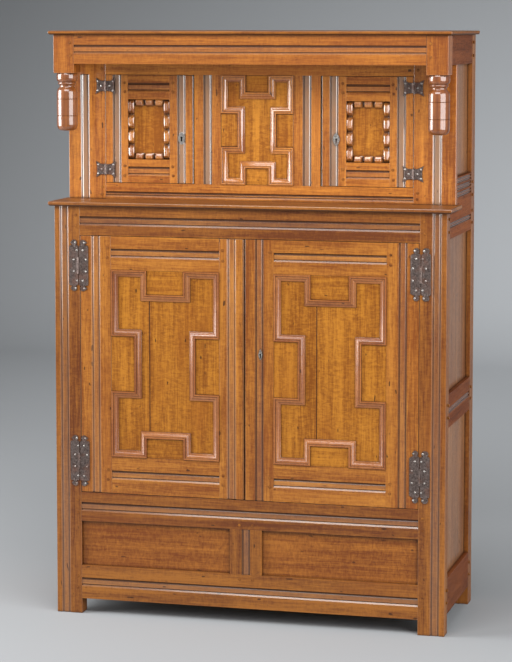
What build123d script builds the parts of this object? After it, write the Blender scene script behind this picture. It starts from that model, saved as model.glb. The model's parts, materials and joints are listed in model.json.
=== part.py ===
"""Court cupboard in joined oak: a two-stage press cupboard with four hinged doors.

Millimetres. X runs to the right, Y to the back and Z up. The origin is on the floor,
at the middle of the overall width and depth. Every frame is drawn in its own flat
layout first: u along the frame, w inwards from its face, z up.
"""
from build123d import *

import os
from math import atan2, degrees

os.makedirs("parts", exist_ok=True)

# ---- overall sizes ----
WIDTH = 1145.0  # over the posts
DEPTH = 444.0  # front of the posts to the back
HEIGHT = 1691.0  # floor to the top of the cornice board
WAIST_HEIGHT = 1190.0  # floor to the underside of the shelf
UPPER_SETBACK = 132.0  # upper front behind the lower front
UPPER_SHIFT = -4.5  # upper doors and bay stand a little left of the middle
SHELF_THICK = 13.0
SHELF_NOSE = 15.0  # how far the shelf stands out, in front and at the ends
CORNICE_THICK = 11.0
CORNICE_NOSE = 12.0

# ---- posts, rails and boards ----
POST_WIDTH = 76.0
POST_THICK = 44.0
REAR_POST_WIDTH = 54.0  # seen from the side
REAR_POST_THICK = 44.0
RAIL_THICK = 24.0
UPPER_THICK = 22.0
TOP_RAIL_HEIGHT = 83.0
UNDER_DOOR_RAIL_HEIGHT = 84.5
LOW_PANEL_HEIGHT = 131.0
BOTTOM_RAIL_HEIGHT = 98.5
BOTTOM_RAIL_LIFT = 44.5  # floor to the front bottom rail
LOW_MUNTIN_WIDTH = 94.0
LOW_MUNTIN_SHIFT = -3.0
SIDE_RAIL_LIFT = 55.0
SIDE_BOTTOM_HEIGHT = 102.0
SIDE_MID_SHARE = 0.4916  # underside of the middle side rail, as a share of the waist
SIDE_MID_HEIGHT = 95.0
SIDE_TOP_HEIGHT = 75.0
SIDE_WAIST_HEIGHT = 90.0
FRIEZE_HEIGHT = 83.0
UPPER_STILE_WIDTH = 117.0
UPPER_TOP_DROP = 33.0  # how far the upper top rail shows below the frieze
UPPER_BOTTOM_HEIGHT = 47.0
BAY_WIDTH = 373.0  # over the two upper muntins
UPPER_MUNTIN_WIDTH = 79.0
BOARD_THICK = 12.0
FLOOR_DROP = 2.0  # floor boards below the top of the bottom rail
INNER_SHELF_SHARE = 0.58  # underside of the inner shelf, as a share of the waist
INNER_SHELF_DEPTH = 300.0
INNER_BOARD_THICK = 16.0
CLEAT_SIDE = 22.0
BACK_BOARD_COUNT = 6
BACK_BOARD_GAP = 1.5

# ---- joints in the wood ----
TENON_LENGTH = 34.0
TENON_THICK = 8.0
TENON_SET = 8.0  # face of the rail to the tenon
TENON_SHOULDER = 12.0  # above and below the tenon
THIN_TENON_LENGTH = 14.0
TENON_FIT = 0.1  # clearance round a tenon
TENON_END_GAP = 1.0
GROOVE_DEPTH = 9.0
GROOVE_FIT = 0.1
PANEL_EDGE_THICK = 6.0
PANEL_FIELD_THICK = 4.0  # extra thickness behind the middle of a panel
PANEL_BEVEL = 26.0  # width of the bevel behind a panel
PANEL_SHRINK = 1.0  # panel short of the bottom of its groove
PANEL_SET = 8.0  # door face to panel
LOW_PANEL_SET = 10.0
SIDE_PANEL_SET = 14.0

# ---- run mouldings ----
CHANNEL_WIDTH = 26.0
POST_CHANNEL_SHIFT = 10.0  # outwards from the middle of the post
UPPER_BOTTOM_CHANNEL_RISE = 14.1  # ledge to the middle of the channel above it
UPPER_CHANNEL_SHARE = 0.44  # from the outer edge of an upper stile
CHANNEL_FLAT = 1.5  # depth of the flat band
COVE_WIDTH = 7.0
COVE_DEPTH = 3.0
COVE_BOTTOM = (0.3, 0.7)  # ends of the bottom of the cove, as shares of its width
SIDE_CHANNEL_WIDTH = 16.0
WAIST_CHANNEL_STEP = 20.0
WAIST_CHANNEL_SHARE = 0.66  # middle channel as a share of the rail's height
STRIP_WIDTH = 20.0  # applied geometric moulding
STRIP_HEIGHT = 11.0
STRIP_TOP = 5.0  # flat top of the strip
STRIP_STEP = 1.5
STRIP_FOOT = 2.0  # thickness at the inner edge
STRIP_OGEE = ((0.3, 0.12), (0.7, 0.78))  # points of the ogee, as shares of its run and fall
BEAD_WIDTH = 18.0  # notched border
BEAD_HEIGHT = 10.0
BEAD_TEETH_TALL = 4
BEAD_TEETH_WIDE = 3
BEAD_SECTION = ((0.5, 0.3), (0.5, 0.0), (-0.5, 0.0), (-0.5, 0.7), (-0.3, 1.0), (0.1, 0.92))  # as shares
BEAD_NOTCH_DEPTH = 8.0
BEAD_NOTCH_SHARE = 0.44  # notch as a share of the tooth spacing

# ---- lower doors ----
DOOR_GAP = 1.5
CLOSING_GAP = 3.0
MEETING_X = -7.5
LOWER_HANGING_STILE = 92.0
LEFT_CLOSING_STILE = 72.0
RIGHT_CLOSING_STILE = 85.0
LOWER_DOOR_TOP_RAIL = 96.5
LOWER_DOOR_BOTTOM_RAIL = 107.0
NOTCH_WIDE = 0.34  # blocks in the edges of a field, as shares of its width and height
NOTCH_TOP = 0.127
NOTCH_BOTTOM = 0.105
NOTCH_SIDE = 0.217
NOTCH_SIDE_HEIGHT = 0.295

# ---- upper doors and bay ----
UPPER_HANGING_STILE = 67.0
UPPER_CLOSING_STILE = 72.0
UPPER_DOOR_TOP_RAIL = 0.2235  # upper door rails, as shares of the height of the door
UPPER_DOOR_BOTTOM_RAIL = 0.217
BAY_NOTCH_WIDE = 0.312  # shares of the bay's field
BAY_NOTCH_TALL = 0.153
BAY_NOTCH_SIDE = 0.233
BAY_NOTCH_SIDE_HEIGHT = 0.303

# ---- turned pendants ----
PENDANT_BLOCK = 61.5
PENDANT_BLOCK_BELOW = 27.0  # block below the frieze
DROP_RADIUS = 29.9
DROP_RING_RADIUS = 30.6
DROP_RING_HEIGHT = 24.0
DROP_BEAD_RADIUS = 26.0
DROP_BEAD_HEIGHT = 7.0
DROP_NECK_RADIUS = 21.5
DROP_NECK_HEIGHT = 11.0
DROP_SHOULDER = 14.0
DROP_LENGTH = 165.0
DROP_END_HEIGHT = 17.0
DROP_END_RADIUS = 16.5  # flat under the drop
DROP_RING_CURVE = ((0.95, 0.0), (1.0, 0.6), (0.92, 1.0))  # shares of the radius and height
DROP_SHOULDER_CURVE = ((0.75, 0.35), (1.0, 1.0))  # shares of the swelling and height
DROP_END_CURVE = ((0.0, 0.0), (0.2, 0.5), (0.55, 0.84), (1.0, 1.0))  # shares of the rounding and height
SCRIBE_DEPTHS = (74.0, 122.0)  # scribed lines, below the block
SCRIBE_SIZE = 1.2

# ---- hinges ----
KNUCKLE_RADIUS = 3.2
KNUCKLE_SIDES = 12  # hammered round the pin in flats
PIN_SIDES = 12
LOBE_SIDES = 7
PIN_RADIUS = 1.6
PIN_FIT = 0.05
KNUCKLE_GAP = 0.4  # between knuckles
LEAF_THICK = 2.2
LEAF_EDGE = 1.0  # leaf short of the joint line
KNUCKLE_STAND = 0.1  # knuckle clear of the wood
LEAF_CLEAR = 0.4  # leaf round the other leaf's knuckle
H_LEAF_WIDTH = 24.0
H_BODY_HEIGHT = 104.0
H_LOBE_RADIUS = 8.5
H_LOBE_RISE = 66.0
H_SIDE_LOBE_RADIUS = 5.8
H_SIDE_LOBE_RISE = 53.0
H_KNUCKLE_HEIGHT = 48.0
H_UPPER_DROP = 88.0  # top of the door opening to the middle of the hinge
H_LOWER_RISE = 92.0
B_LEAF_WIDTH = 29.0
B_INNER_HEIGHT = 28.0
B_OUTER_HEIGHT = 46.0
B_HOLLOW = 3.5
B_HOLLOW_SHARE = 0.4  # of the outer edge
B_UPPER_DROP = 33.0
B_LOWER_RISE = 39.0

# ---- locks ----
LOCK_WIDTH = 58.0
LOCK_HEIGHT = 66.0
LOCK_THICK = 13.0
LOCK_EDGE = 3.0  # case short of the edge of the door
BOLT_LENGTH = 38.0
BOLT_HEIGHT = 14.0
BOLT_THICK = 5.0
BOLT_SET = 4.0  # back of the door to the bolt
BOLT_FIT = 0.2
KEYHOLE_RADIUS = 3.0
KEYHOLE_SLOT = 3.0
KEYHOLE_DROP = 10.0
UPPER_KEYHOLE_SHARE = 0.427  # keyholes, as shares of the height of a door opening
LOWER_KEYHOLE_SHARE = 0.562
UPPER_LEFT_KEYHOLE_INSET = 36.0  # closing edge to the keyhole
UPPER_RIGHT_KEYHOLE_INSET = 43.0
LOWER_KEYHOLE_INSET = 46.0
PLATE_THICK = 2.0
OVAL_PLATE = (10.5, 19.5)  # half width and half height
NARROW_PLATE = (5.5, 16.0)

# ---- door stops and the turn button inside the lower left door ----
STOP_LENGTH = 46.0
STOP_HEIGHT = 30.0
STOP_THICK = 12.0
STOP_DROP = 10.0  # how far a stop shows below the rail above the door
STOP_INSET = 120.0  # hanging edge of the door to the middle of its stop
BUTTON_LENGTH = 84.0
BUTTON_HEIGHT = 24.0
BUTTON_THICK = 12.0
BUTTON_RISE = 18.0  # pivot above the door opening
BUTTON_X = -70.0
BUTTON_GAP = 0.3
BUTTON_CLIP = 7.0  # clipped corners
NAIL_RADIUS = 3.0
NAIL_HEAD_RADIUS = 6.5
NAIL_HEAD_THICK = 3.0
NAIL_FIT = 0.08
NAIL_BITE = 14.0

# ---- worked out ----
HALF = WIDTH / 2
OVERALL_DEPTH = DEPTH + SHELF_NOSE
FRONT = SHELF_NOSE - OVERALL_DEPTH / 2
BACK = FRONT + DEPTH
UPPER_FRONT = FRONT + UPPER_SETBACK
POST_INNER = HALF - POST_WIDTH
CORNICE_BASE = HEIGHT - CORNICE_THICK
FRIEZE_BASE = CORNICE_BASE - FRIEZE_HEIGHT
SHELF_TOP = WAIST_HEIGHT + SHELF_THICK
BOTTOM_RAIL_TOP = BOTTOM_RAIL_LIFT + BOTTOM_RAIL_HEIGHT
UNDER_DOOR_BASE = BOTTOM_RAIL_TOP + LOW_PANEL_HEIGHT
LOWER_OPENING_BASE = UNDER_DOOR_BASE + UNDER_DOOR_RAIL_HEIGHT
LOWER_OPENING_TOP = WAIST_HEIGHT - TOP_RAIL_HEIGHT
UPPER_OPENING_BASE = SHELF_TOP + UPPER_BOTTOM_HEIGHT
UPPER_OPENING_TOP = FRIEZE_BASE - UPPER_TOP_DROP
UPPER_OPENING_HEIGHT = UPPER_OPENING_TOP - UPPER_OPENING_BASE
LOWER_OPENING_HEIGHT = LOWER_OPENING_TOP - LOWER_OPENING_BASE
UPPER_KEYHOLE_HEIGHT = UPPER_OPENING_BASE + UPPER_OPENING_HEIGHT * UPPER_KEYHOLE_SHARE
LOWER_KEYHOLE_HEIGHT = LOWER_OPENING_BASE + LOWER_OPENING_HEIGHT * LOWER_KEYHOLE_SHARE
UPPER_LEFT = UPPER_SHIFT - (HALF - UPPER_STILE_WIDTH)  # inner edges of the upper stiles
UPPER_RIGHT = UPPER_SHIFT + (HALF - UPPER_STILE_WIDTH)
BAY_LEFT = UPPER_SHIFT - BAY_WIDTH / 2
BAY_RIGHT = UPPER_SHIFT + BAY_WIDTH / 2
SIDE_BOTTOM_TOP = SIDE_RAIL_LIFT + SIDE_BOTTOM_HEIGHT
SIDE_MID_BASE = WAIST_HEIGHT * SIDE_MID_SHARE
SIDE_MID_TOP = SIDE_MID_BASE + SIDE_MID_HEIGHT
INNER_SHELF_BASE = WAIST_HEIGHT * INNER_SHELF_SHARE
SIDE_TOP_BASE = WAIST_HEIGHT - SIDE_TOP_HEIGHT
SIDE_WAIST_TOP = WAIST_HEIGHT + SIDE_WAIST_HEIGHT
REAR_POST_FRONT = BACK - REAR_POST_WIDTH
FLOOR_TOP = BOTTOM_RAIL_TOP - FLOOR_DROP
UPPER_BACK = UPPER_FRONT + UPPER_THICK
INNER_BACK = BACK - BOARD_THICK - UPPER_THICK  # front of the rear rails


# ---- shaping tools ----
def block(x0, x1, y0, y1, z0, z1):
    """A squared piece between two corners."""
    return Pos((x0 + x1) / 2, (y0 + y1) / 2, (z0 + z1) / 2) * Box(x1 - x0, y1 - y0, z1 - z0)


def mirrored(shape):
    """The same piece on the other side of the cupboard."""
    return mirror(shape, about=Plane.YZ)


def on_side(shape):
    """Turn a piece from the flat layout to the right-hand side: u to Y, w inwards from the side."""
    return Pos(HALF, 0, 0) * Rot(0, 0, 90) * shape


def channel_bar(length, width=CHANNEL_WIDTH):
    """Cutter for a channel moulding along Z: two coves with a sunk flat between them."""
    outer = width / 2
    cove = [(outer, 0)]
    cove += [(outer - COVE_WIDTH * share, COVE_DEPTH) for share in COVE_BOTTOM]
    cove += [(outer - COVE_WIDTH, CHANNEL_FLAT)]
    section = [(-u, w) for u, w in cove] + cove[::-1] + [(outer, -1), (-outer, -1)]
    return extrude(make_face(Polyline(*section, close=True)), length / 2, both=True)


def upright_channel(u, face, z0, z1, width=CHANNEL_WIDTH):
    """Channel cutter down a stile."""
    return Pos(u, face, (z0 + z1) / 2) * channel_bar(z1 - z0, width)


def level_channel(u0, u1, face, z, width=CHANNEL_WIDTH):
    """Channel cutter along a rail."""
    return Pos((u0 + u1) / 2, face, z) * Rot(0, 90, 0) * channel_bar(u1 - u0, width)


def tenon(u0, u1, face, z0, z1, grow=0.0):
    """A tenon, or with grow its mortise."""
    w0 = face + TENON_SET
    w1 = w0 + TENON_THICK
    return block(u0, u1, w0 - grow, w1 + grow, z0 + TENON_SHOULDER - grow, z1 - TENON_SHOULDER + grow)


def rail(u0, u1, z0, z1, face, thick=RAIL_THICK, left=TENON_LENGTH, right=TENON_LENGTH):
    """A rail between two uprights, with a tenon at each end."""
    return block(u0, u1, face, face + thick, z0, z1) + tenon(u0 - left, u1 + right, face, z0, z1)


def mortise(edge, inward, face, z0, z1, length=TENON_LENGTH):
    """Mortise cutter in the upright whose edge a rail meets; inward is +1 or -1 along u."""
    far = edge + inward * (length + TENON_END_GAP)
    return tenon(min(edge, far), max(edge, far), face, z0, z1, grow=TENON_FIT)


def upright_tenon(u0, u1, face, edge, inward, grow=0.0):
    """Tenon on the end of a muntin, or with grow its mortise in the rail."""
    far = edge + inward * (THIN_TENON_LENGTH + (TENON_END_GAP if grow else 0))
    w0 = face + TENON_SET - grow
    w1 = face + TENON_SET + TENON_THICK + grow
    left, right = u0 + TENON_SHOULDER - grow, u1 - TENON_SHOULDER + grow
    return block(left, right, w0, w1, min(edge, far), max(edge, far))


def upright_groove(edge, inward, face, z0, z1, depth=GROOVE_DEPTH):
    """Panel groove cutter in an upright."""
    far = edge + inward * depth
    w1 = face + PANEL_EDGE_THICK + GROOVE_FIT
    return block(min(edge, far), max(edge, far), face - GROOVE_FIT, w1, z0 - depth, z1 + depth)


def level_groove(u0, u1, face, edge, inward, depth=GROOVE_DEPTH):
    """Panel groove cutter in a rail; inward is +1 or -1 along z."""
    far = edge + inward * depth
    w1 = face + PANEL_EDGE_THICK + GROOVE_FIT
    return block(u0, u1, face - GROOVE_FIT, w1, min(edge, far), max(edge, far))


def panel(u0, u1, z0, z1, face):
    """A panel with a plain front, and bevelled behind so that its edges enter the grooves."""
    reach = GROOVE_DEPTH - PANEL_SHRINK
    sheet = block(u0 - reach, u1 + reach, face, face + PANEL_EDGE_THICK, z0 - reach, z1 + reach)
    middle = Location(((u0 + u1) / 2, face + PANEL_EDGE_THICK, (z0 + z1) / 2), (-90, 0, 0))
    lean = degrees(atan2(PANEL_BEVEL, PANEL_FIELD_THICK))
    return sheet + middle * extrude(Rectangle(u1 - u0 - 2, z1 - z0 - 2), PANEL_FIELD_THICK, taper=lean)


def notched_outline(u0, u1, z0, z1, wide, top, bottom, side, side_height):
    """Corners of a rectangle with a block taken out of the middle of each edge; blocks as shares."""
    um = (u0 + u1) / 2
    zm = (z0 + z1) / 2
    a = wide * (u1 - u0) / 2
    b = side_height * (z1 - z0) / 2
    top, bottom, side = top * (z1 - z0), bottom * (z1 - z0), side * (u1 - u0)
    return [
        (u0, z0), (um - a, z0), (um - a, z0 + bottom), (um + a, z0 + bottom), (um + a, z0), (u1, z0),
        (u1, zm - b), (u1 - side, zm - b), (u1 - side, zm + b), (u1, zm + b),
        (u1, z1), (um + a, z1), (um + a, z1 - top), (um - a, z1 - top), (um - a, z1), (u0, z1),
        (u0, zm + b), (u0 + side, zm + b), (u0 + side, zm - b), (u0, zm - b),
    ]


def strip_profile():
    """Section of the applied moulding: across from the outer edge, and up from the panel."""
    start = (STRIP_TOP, STRIP_HEIGHT - STRIP_STEP)
    end = (STRIP_WIDTH - STRIP_STEP, STRIP_FOOT)
    run, fall = end[0] - start[0], end[1] - start[1]
    ogee = [(start[0] + run * across, start[1] + fall * down) for across, down in STRIP_OGEE]
    outline = [(0, 0), (0, STRIP_HEIGHT), (STRIP_TOP, STRIP_HEIGHT), start, *ogee, end, (STRIP_WIDTH, 0)]
    return make_face(Polyline(*outline, close=True))


def mitred_strips(corners, face):
    """Moulding strips inside an outline, mitred where they meet; face is the panel's face."""
    profile = strip_profile()
    strips = []
    count = len(corners)
    for i in range(count):
        p = Vector(*corners[i])
        q = Vector(*corners[(i + 1) % count])
        before = Vector(*corners[i - 1])
        after = Vector(*corners[(i + 2) % count])
        run = (q - p).normalized()
        inward = Vector(-run.Y, run.X)
        turn_p = (p - before).normalized().cross(run).Z
        turn_q = run.cross((after - q).normalized()).Z
        p_in = p + inward * STRIP_WIDTH + run * (STRIP_WIDTH * turn_p)
        q_in = q + inward * STRIP_WIDTH - run * (STRIP_WIDTH * turn_q)
        start = p - run * (STRIP_WIDTH * max(0.0, -turn_p))
        length = (q - p).length + STRIP_WIDTH * (max(0.0, -turn_p) + max(0.0, -turn_q))
        # the section's own x is inward, its own y is out of the panel (towards -Y)
        plane = Plane(
            origin=(start.X, face, start.Y), x_dir=(inward.X, 0, inward.Y), z_dir=(run.X, 0, run.Y)
        )
        bar = extrude(plane * profile, length)
        plan = Plane(origin=(0, face, 0), x_dir=(1, 0, 0), z_dir=(0, -1, 0))
        edge = Polyline(*[(v.X, v.Y) for v in (p, q, q_in, p_in)], close=True)
        mitre = extrude(plan * make_face(edge), STRIP_HEIGHT + 1)
        strips.append((bar & mitre).solids()[0])
    return strips


def notched_border(u0, u1, z0, z1, face):
    """Four beads round a panel, each cut by vee notches into a row of teeth."""
    def bead(length, teeth):
        body = Pos(0, 0, -length / 2) * extrude(bead_section(), length)
        step = length / teeth
        half = step * BEAD_NOTCH_SHARE / 2
        for k in range(1, teeth):
            at = -length / 2 + k * step
            vee = Polyline((-BEAD_HEIGHT - 1, at - half), (-BEAD_HEIGHT + BEAD_NOTCH_DEPTH, at),
                           (-BEAD_HEIGHT - 1, at + half), (-BEAD_HEIGHT - 1, at - half))
            body -= extrude(Plane.YZ * make_face(vee), BEAD_WIDTH + 1, both=True)
        return body

    def bead_section():
        corners = [(BEAD_WIDTH * across, -BEAD_HEIGHT * out) for across, out in BEAD_SECTION]
        return make_face(Polyline(*corners, close=True))

    tall = bead(z1 - z0, BEAD_TEETH_TALL)
    wide = bead(u1 - u0 - 2 * BEAD_WIDTH, BEAD_TEETH_WIDE)
    um = (u0 + u1) / 2
    zm = (z0 + z1) / 2
    return [
        Pos(u0 + BEAD_WIDTH / 2, face, zm) * tall,
        Pos(u1 - BEAD_WIDTH / 2, face, zm) * mirrored(tall),
        Pos(um, face, z1 - BEAD_WIDTH / 2) * Rot(0, 90, 0) * wide,
        Pos(um, face, z0 + BEAD_WIDTH / 2) * Rot(0, -90, 0) * wide,
    ]


def keyhole(u, z, face, length):
    """Cutter for a keyhole through a stile."""
    slot = Pos(0, KEYHOLE_DROP / 2) * Rectangle(KEYHOLE_SLOT, KEYHOLE_DROP)
    outline = RegularPolygon(KEYHOLE_RADIUS, LOBE_SIDES) + slot
    return Location((u, face - 1, z), (-90, 0, 0)) * extrude(outline, length + 2)


# ---- hinges, drawn for a left-hand joint: the post leaf lies at -u, the door leaf at +u ----
def h_outline():
    """Outline of one leaf of an H hinge, about its own middle, with a trefoil at each end."""
    outline = Rectangle(H_LEAF_WIDTH, H_BODY_HEIGHT)
    offset = H_LEAF_WIDTH / 2 - H_SIDE_LOBE_RADIUS
    for end in (-1, 1):
        outline += Pos(0, end * H_LOBE_RISE) * RegularPolygon(H_LOBE_RADIUS, LOBE_SIDES)
        neck = end * (H_LOBE_RISE + H_BODY_HEIGHT / 2) / 2
        outline += Pos(0, neck) * Rectangle(H_LOBE_RADIUS, H_LOBE_RADIUS * 2)
        outline += Pos(offset, end * H_SIDE_LOBE_RISE) * RegularPolygon(H_SIDE_LOBE_RADIUS, LOBE_SIDES)
        outline += Pos(-offset, end * H_SIDE_LOBE_RISE) * RegularPolygon(H_SIDE_LOBE_RADIUS, LOBE_SIDES)
    return outline


def butterfly_outline():
    """Outline of one wing of a butterfly hinge, flaring away from the knuckle at its left."""
    inner = -B_LEAF_WIDTH / 2
    outer = B_LEAF_WIDTH / 2
    a = B_INNER_HEIGHT / 2
    b = B_OUTER_HEIGHT / 2
    waist = (a + b) / 2 - B_HOLLOW
    hollow = outer - B_HOLLOW
    outline = [(inner, -a), (0, -waist), (outer, -b), (hollow, -b * B_HOLLOW_SHARE)]
    outline += [(hollow, b * B_HOLLOW_SHARE), (outer, b), (0, waist), (inner, a)]
    return make_face(Polyline(*outline, close=True))


def forged_bar(radius, sides, height, outside=True):
    """A round bar or hole in flats: outside takes the radius over its corners, else over its flats."""
    return extrude(RegularPolygon(radius, sides, major_radius=outside), height / 2, both=True)


def hinge_leaf(outline, width, knuckle_height, own, side):
    """One leaf with its knuckles; own holds the thirds of the barrel that it carries, from below."""
    axis_w = -KNUCKLE_RADIUS - KNUCKLE_STAND
    lay = Location((side * (LEAF_EDGE + width / 2), 0, 0), (90, 0, 0))
    shaped = outline if side > 0 else mirror(outline, about=Plane.YZ)
    leaf = lay * extrude(shaped, LEAF_THICK)
    third = knuckle_height / 3
    for k in range(3):
        z = (k - 1) * third
        if k in own:
            leaf += Pos(0, axis_w, z) * forged_bar(KNUCKLE_RADIUS, KNUCKLE_SIDES, third - KNUCKLE_GAP)
        else:
            reach = KNUCKLE_RADIUS + LEAF_CLEAR
            half = (third + KNUCKLE_GAP) / 2
            leaf -= block(-reach, reach, -LEAF_THICK - 1, 1, z - half, z + half)
    return leaf


def hinge_set(outline, width, knuckle_height, right_hand):
    """Post leaf, with the pin riveted into it, and door leaf of one hinge, about its joint line."""
    axis_w = -KNUCKLE_RADIUS - KNUCKLE_STAND
    pin = Pos(0, axis_w, 0) * forged_bar(PIN_RADIUS, PIN_SIDES, knuckle_height / 3 + 2 * KNUCKLE_GAP)
    post_leaf = hinge_leaf(outline, width, knuckle_height, (0, 2), -1) + pin
    door_leaf = hinge_leaf(outline, width, knuckle_height, (1,), 1)
    bore = forged_bar(PIN_RADIUS + PIN_FIT, PIN_SIDES, knuckle_height + 1, outside=False)
    door_leaf -= Pos(0, axis_w, 0) * bore
    pieces = [post_leaf, door_leaf]
    return [mirrored(piece) for piece in pieces] if right_hand else pieces


def flat_solids(shapes):
    """Every solid in a list of shapes."""
    found = []
    for shape in shapes:
        found += shape.solids()
    return found


nodes = {}


def keep(name, *shapes):
    """Store a named piece, or a group of like pieces."""
    solids = flat_solids(shapes)
    nodes[name] = solids[0] if len(solids) == 1 else Compound(children=solids)


# ---- lower stage: front frame ----
front_rails = {
    "lower_top_rail": (LOWER_OPENING_TOP, WAIST_HEIGHT),
    "under_door_rail": (UNDER_DOOR_BASE, LOWER_OPENING_BASE),
    "bottom_rail": (BOTTOM_RAIL_LIFT, BOTTOM_RAIL_TOP),
}
muntin_left = LOW_MUNTIN_SHIFT - LOW_MUNTIN_WIDTH / 2
muntin_right = LOW_MUNTIN_SHIFT + LOW_MUNTIN_WIDTH / 2
low_face = FRONT + LOW_PANEL_SET
side_base = FRONT + POST_THICK  # front ends of the lower side rails
post_mid = HALF - POST_WIDTH / 2

rails_made = {}
for name, (z0, z1) in front_rails.items():
    piece = rail(-POST_INNER, POST_INNER, z0, z1, FRONT)
    piece -= level_channel(-POST_INNER, POST_INNER, FRONT, (z0 + z1) / 2)
    rails_made[name] = piece

rail_back = FRONT + RAIL_THICK
low_muntin = block(muntin_left, muntin_right, FRONT, rail_back, BOTTOM_RAIL_TOP, UNDER_DOOR_BASE)
low_muntin -= upright_channel(LOW_MUNTIN_SHIFT, FRONT, BOTTOM_RAIL_TOP, UNDER_DOOR_BASE)
for edge, inward in ((muntin_left, 1), (muntin_right, -1)):
    low_muntin -= upright_groove(edge, inward, low_face, BOTTOM_RAIL_TOP, UNDER_DOOR_BASE)
low_edges = (("under_door_rail", UNDER_DOOR_BASE, 1), ("bottom_rail", BOTTOM_RAIL_TOP, -1))
for name, edge, inward in low_edges:
    low_muntin += upright_tenon(muntin_left, muntin_right, FRONT, edge, inward)
    rails_made[name] -= upright_tenon(muntin_left, muntin_right, FRONT, edge, inward, TENON_FIT)
    rails_made[name] -= level_groove(-POST_INNER, POST_INNER, low_face, edge, inward)
for name, piece in rails_made.items():
    keep(name, piece)
low_panels = []
for u0, u1 in ((-POST_INNER, muntin_left), (muntin_right, POST_INNER)):
    low_panels.append(panel(u0, u1, BOTTOM_RAIL_TOP, UNDER_DOOR_BASE, low_face))
keep("lower_panels", *low_panels)

# ---- sides, drawn in the flat layout and turned to the right-hand side ----
side_specs = [  # z0, z1, u of the front end, length of the front tenon, base of the front tenon
    (SIDE_RAIL_LIFT, SIDE_BOTTOM_TOP, side_base, TENON_LENGTH - TENON_SET, SIDE_RAIL_LIFT),
    (SIDE_MID_BASE, SIDE_MID_TOP, side_base, TENON_LENGTH - TENON_SET, SIDE_MID_BASE),
    (SIDE_TOP_BASE, WAIST_HEIGHT, side_base, TENON_LENGTH - TENON_SET, SIDE_TOP_BASE),
    (WAIST_HEIGHT, SIDE_WAIST_TOP, UPPER_BACK, THIN_TENON_LENGTH, SHELF_TOP),
    (FRIEZE_BASE, CORNICE_BASE, FRONT + PENDANT_BLOCK, TENON_LENGTH, FRIEZE_BASE),
]
side_openings = [  # z0, z1, u of the front edge
    (SIDE_BOTTOM_TOP, SIDE_MID_BASE, side_base),
    (SIDE_MID_TOP, SIDE_TOP_BASE, side_base),
    (SIDE_WAIST_TOP, FRIEZE_BASE, UPPER_BACK),
]
side_face = SIDE_PANEL_SET
side_rails = []
front_post_cuts = []
upper_stile_cuts = []
pendant_cuts = []
rear_post_cuts = []
for z0, z1, u0, reach, base in side_specs:
    piece = block(u0, REAR_POST_FRONT, 0, RAIL_THICK, z0, z1)
    piece += tenon(u0, REAR_POST_FRONT + TENON_LENGTH, 0, z0, z1)
    piece += tenon(u0 - reach, REAR_POST_FRONT, 0, base, z1)
    side_rails.append(piece)
    rear_post_cuts.append(mortise(REAR_POST_FRONT, 1, 0, z0, z1))
    front_cut = mortise(u0, -1, 0, base, z1, reach)
    if u0 == side_base:
        front_post_cuts.append(front_cut)
    elif u0 == UPPER_BACK:
        upper_stile_cuts.append(front_cut)
    else:
        pendant_cuts.append(front_cut)
side_panels = []
for z0, z1, u0 in side_openings:
    side_panels.append(panel(u0, REAR_POST_FRONT, z0, z1, side_face))
    rear_post_cuts.append(upright_groove(REAR_POST_FRONT, 1, side_face, z0, z1))
    groove = upright_groove(u0, -1, side_face, z0, z1)
    if u0 == side_base:
        front_post_cuts.append(groove)
    else:
        upper_stile_cuts.append(groove)
for k, (z0, z1, u0, reach, base) in enumerate(side_specs):
    for p0, p1, pu in side_openings:
        if p0 == z1:
            side_rails[k] -= level_groove(pu - GROOVE_DEPTH, REAR_POST_FRONT, side_face, z1, -1)
        if p1 == z0:
            side_rails[k] -= level_groove(pu - GROOVE_DEPTH, REAR_POST_FRONT, side_face, z0, 1)
    if z0 == WAIST_HEIGHT:
        for step in (-1, 0, 1):
            z = z0 + SIDE_WAIST_HEIGHT * WAIST_CHANNEL_SHARE + step * WAIST_CHANNEL_STEP
            side_rails[k] -= level_channel(u0, REAR_POST_FRONT, 0, z, SIDE_CHANNEL_WIDTH)
    elif z0 in (SIDE_MID_BASE, SIDE_TOP_BASE):
        side_rails[k] -= level_channel(u0, REAR_POST_FRONT, 0, (z0 + z1) / 2, SIDE_CHANNEL_WIDTH)
right_side_rails = [on_side(piece) for piece in side_rails]
right_side_panels = [on_side(piece) for piece in side_panels]
keep("side_rails_right", *right_side_rails)
keep("side_rails_left", *[mirrored(piece) for piece in right_side_rails])
keep("side_panels", *right_side_panels, *[mirrored(piece) for piece in right_side_panels])

# ---- posts ----
front_post = block(POST_INNER, HALF, FRONT, side_base, 0, WAIST_HEIGHT)
front_post -= upright_channel(post_mid + POST_CHANNEL_SHIFT, FRONT, 0, WAIST_HEIGHT)
for z0, z1 in front_rails.values():
    front_post -= mortise(POST_INNER, 1, FRONT, z0, z1)
front_post -= upright_groove(POST_INNER, 1, low_face, BOTTOM_RAIL_TOP, UNDER_DOOR_BASE)
for cut in front_post_cuts:
    front_post -= on_side(cut)
keep("front_post_right", front_post)
keep("front_post_left", mirrored(front_post))

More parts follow.
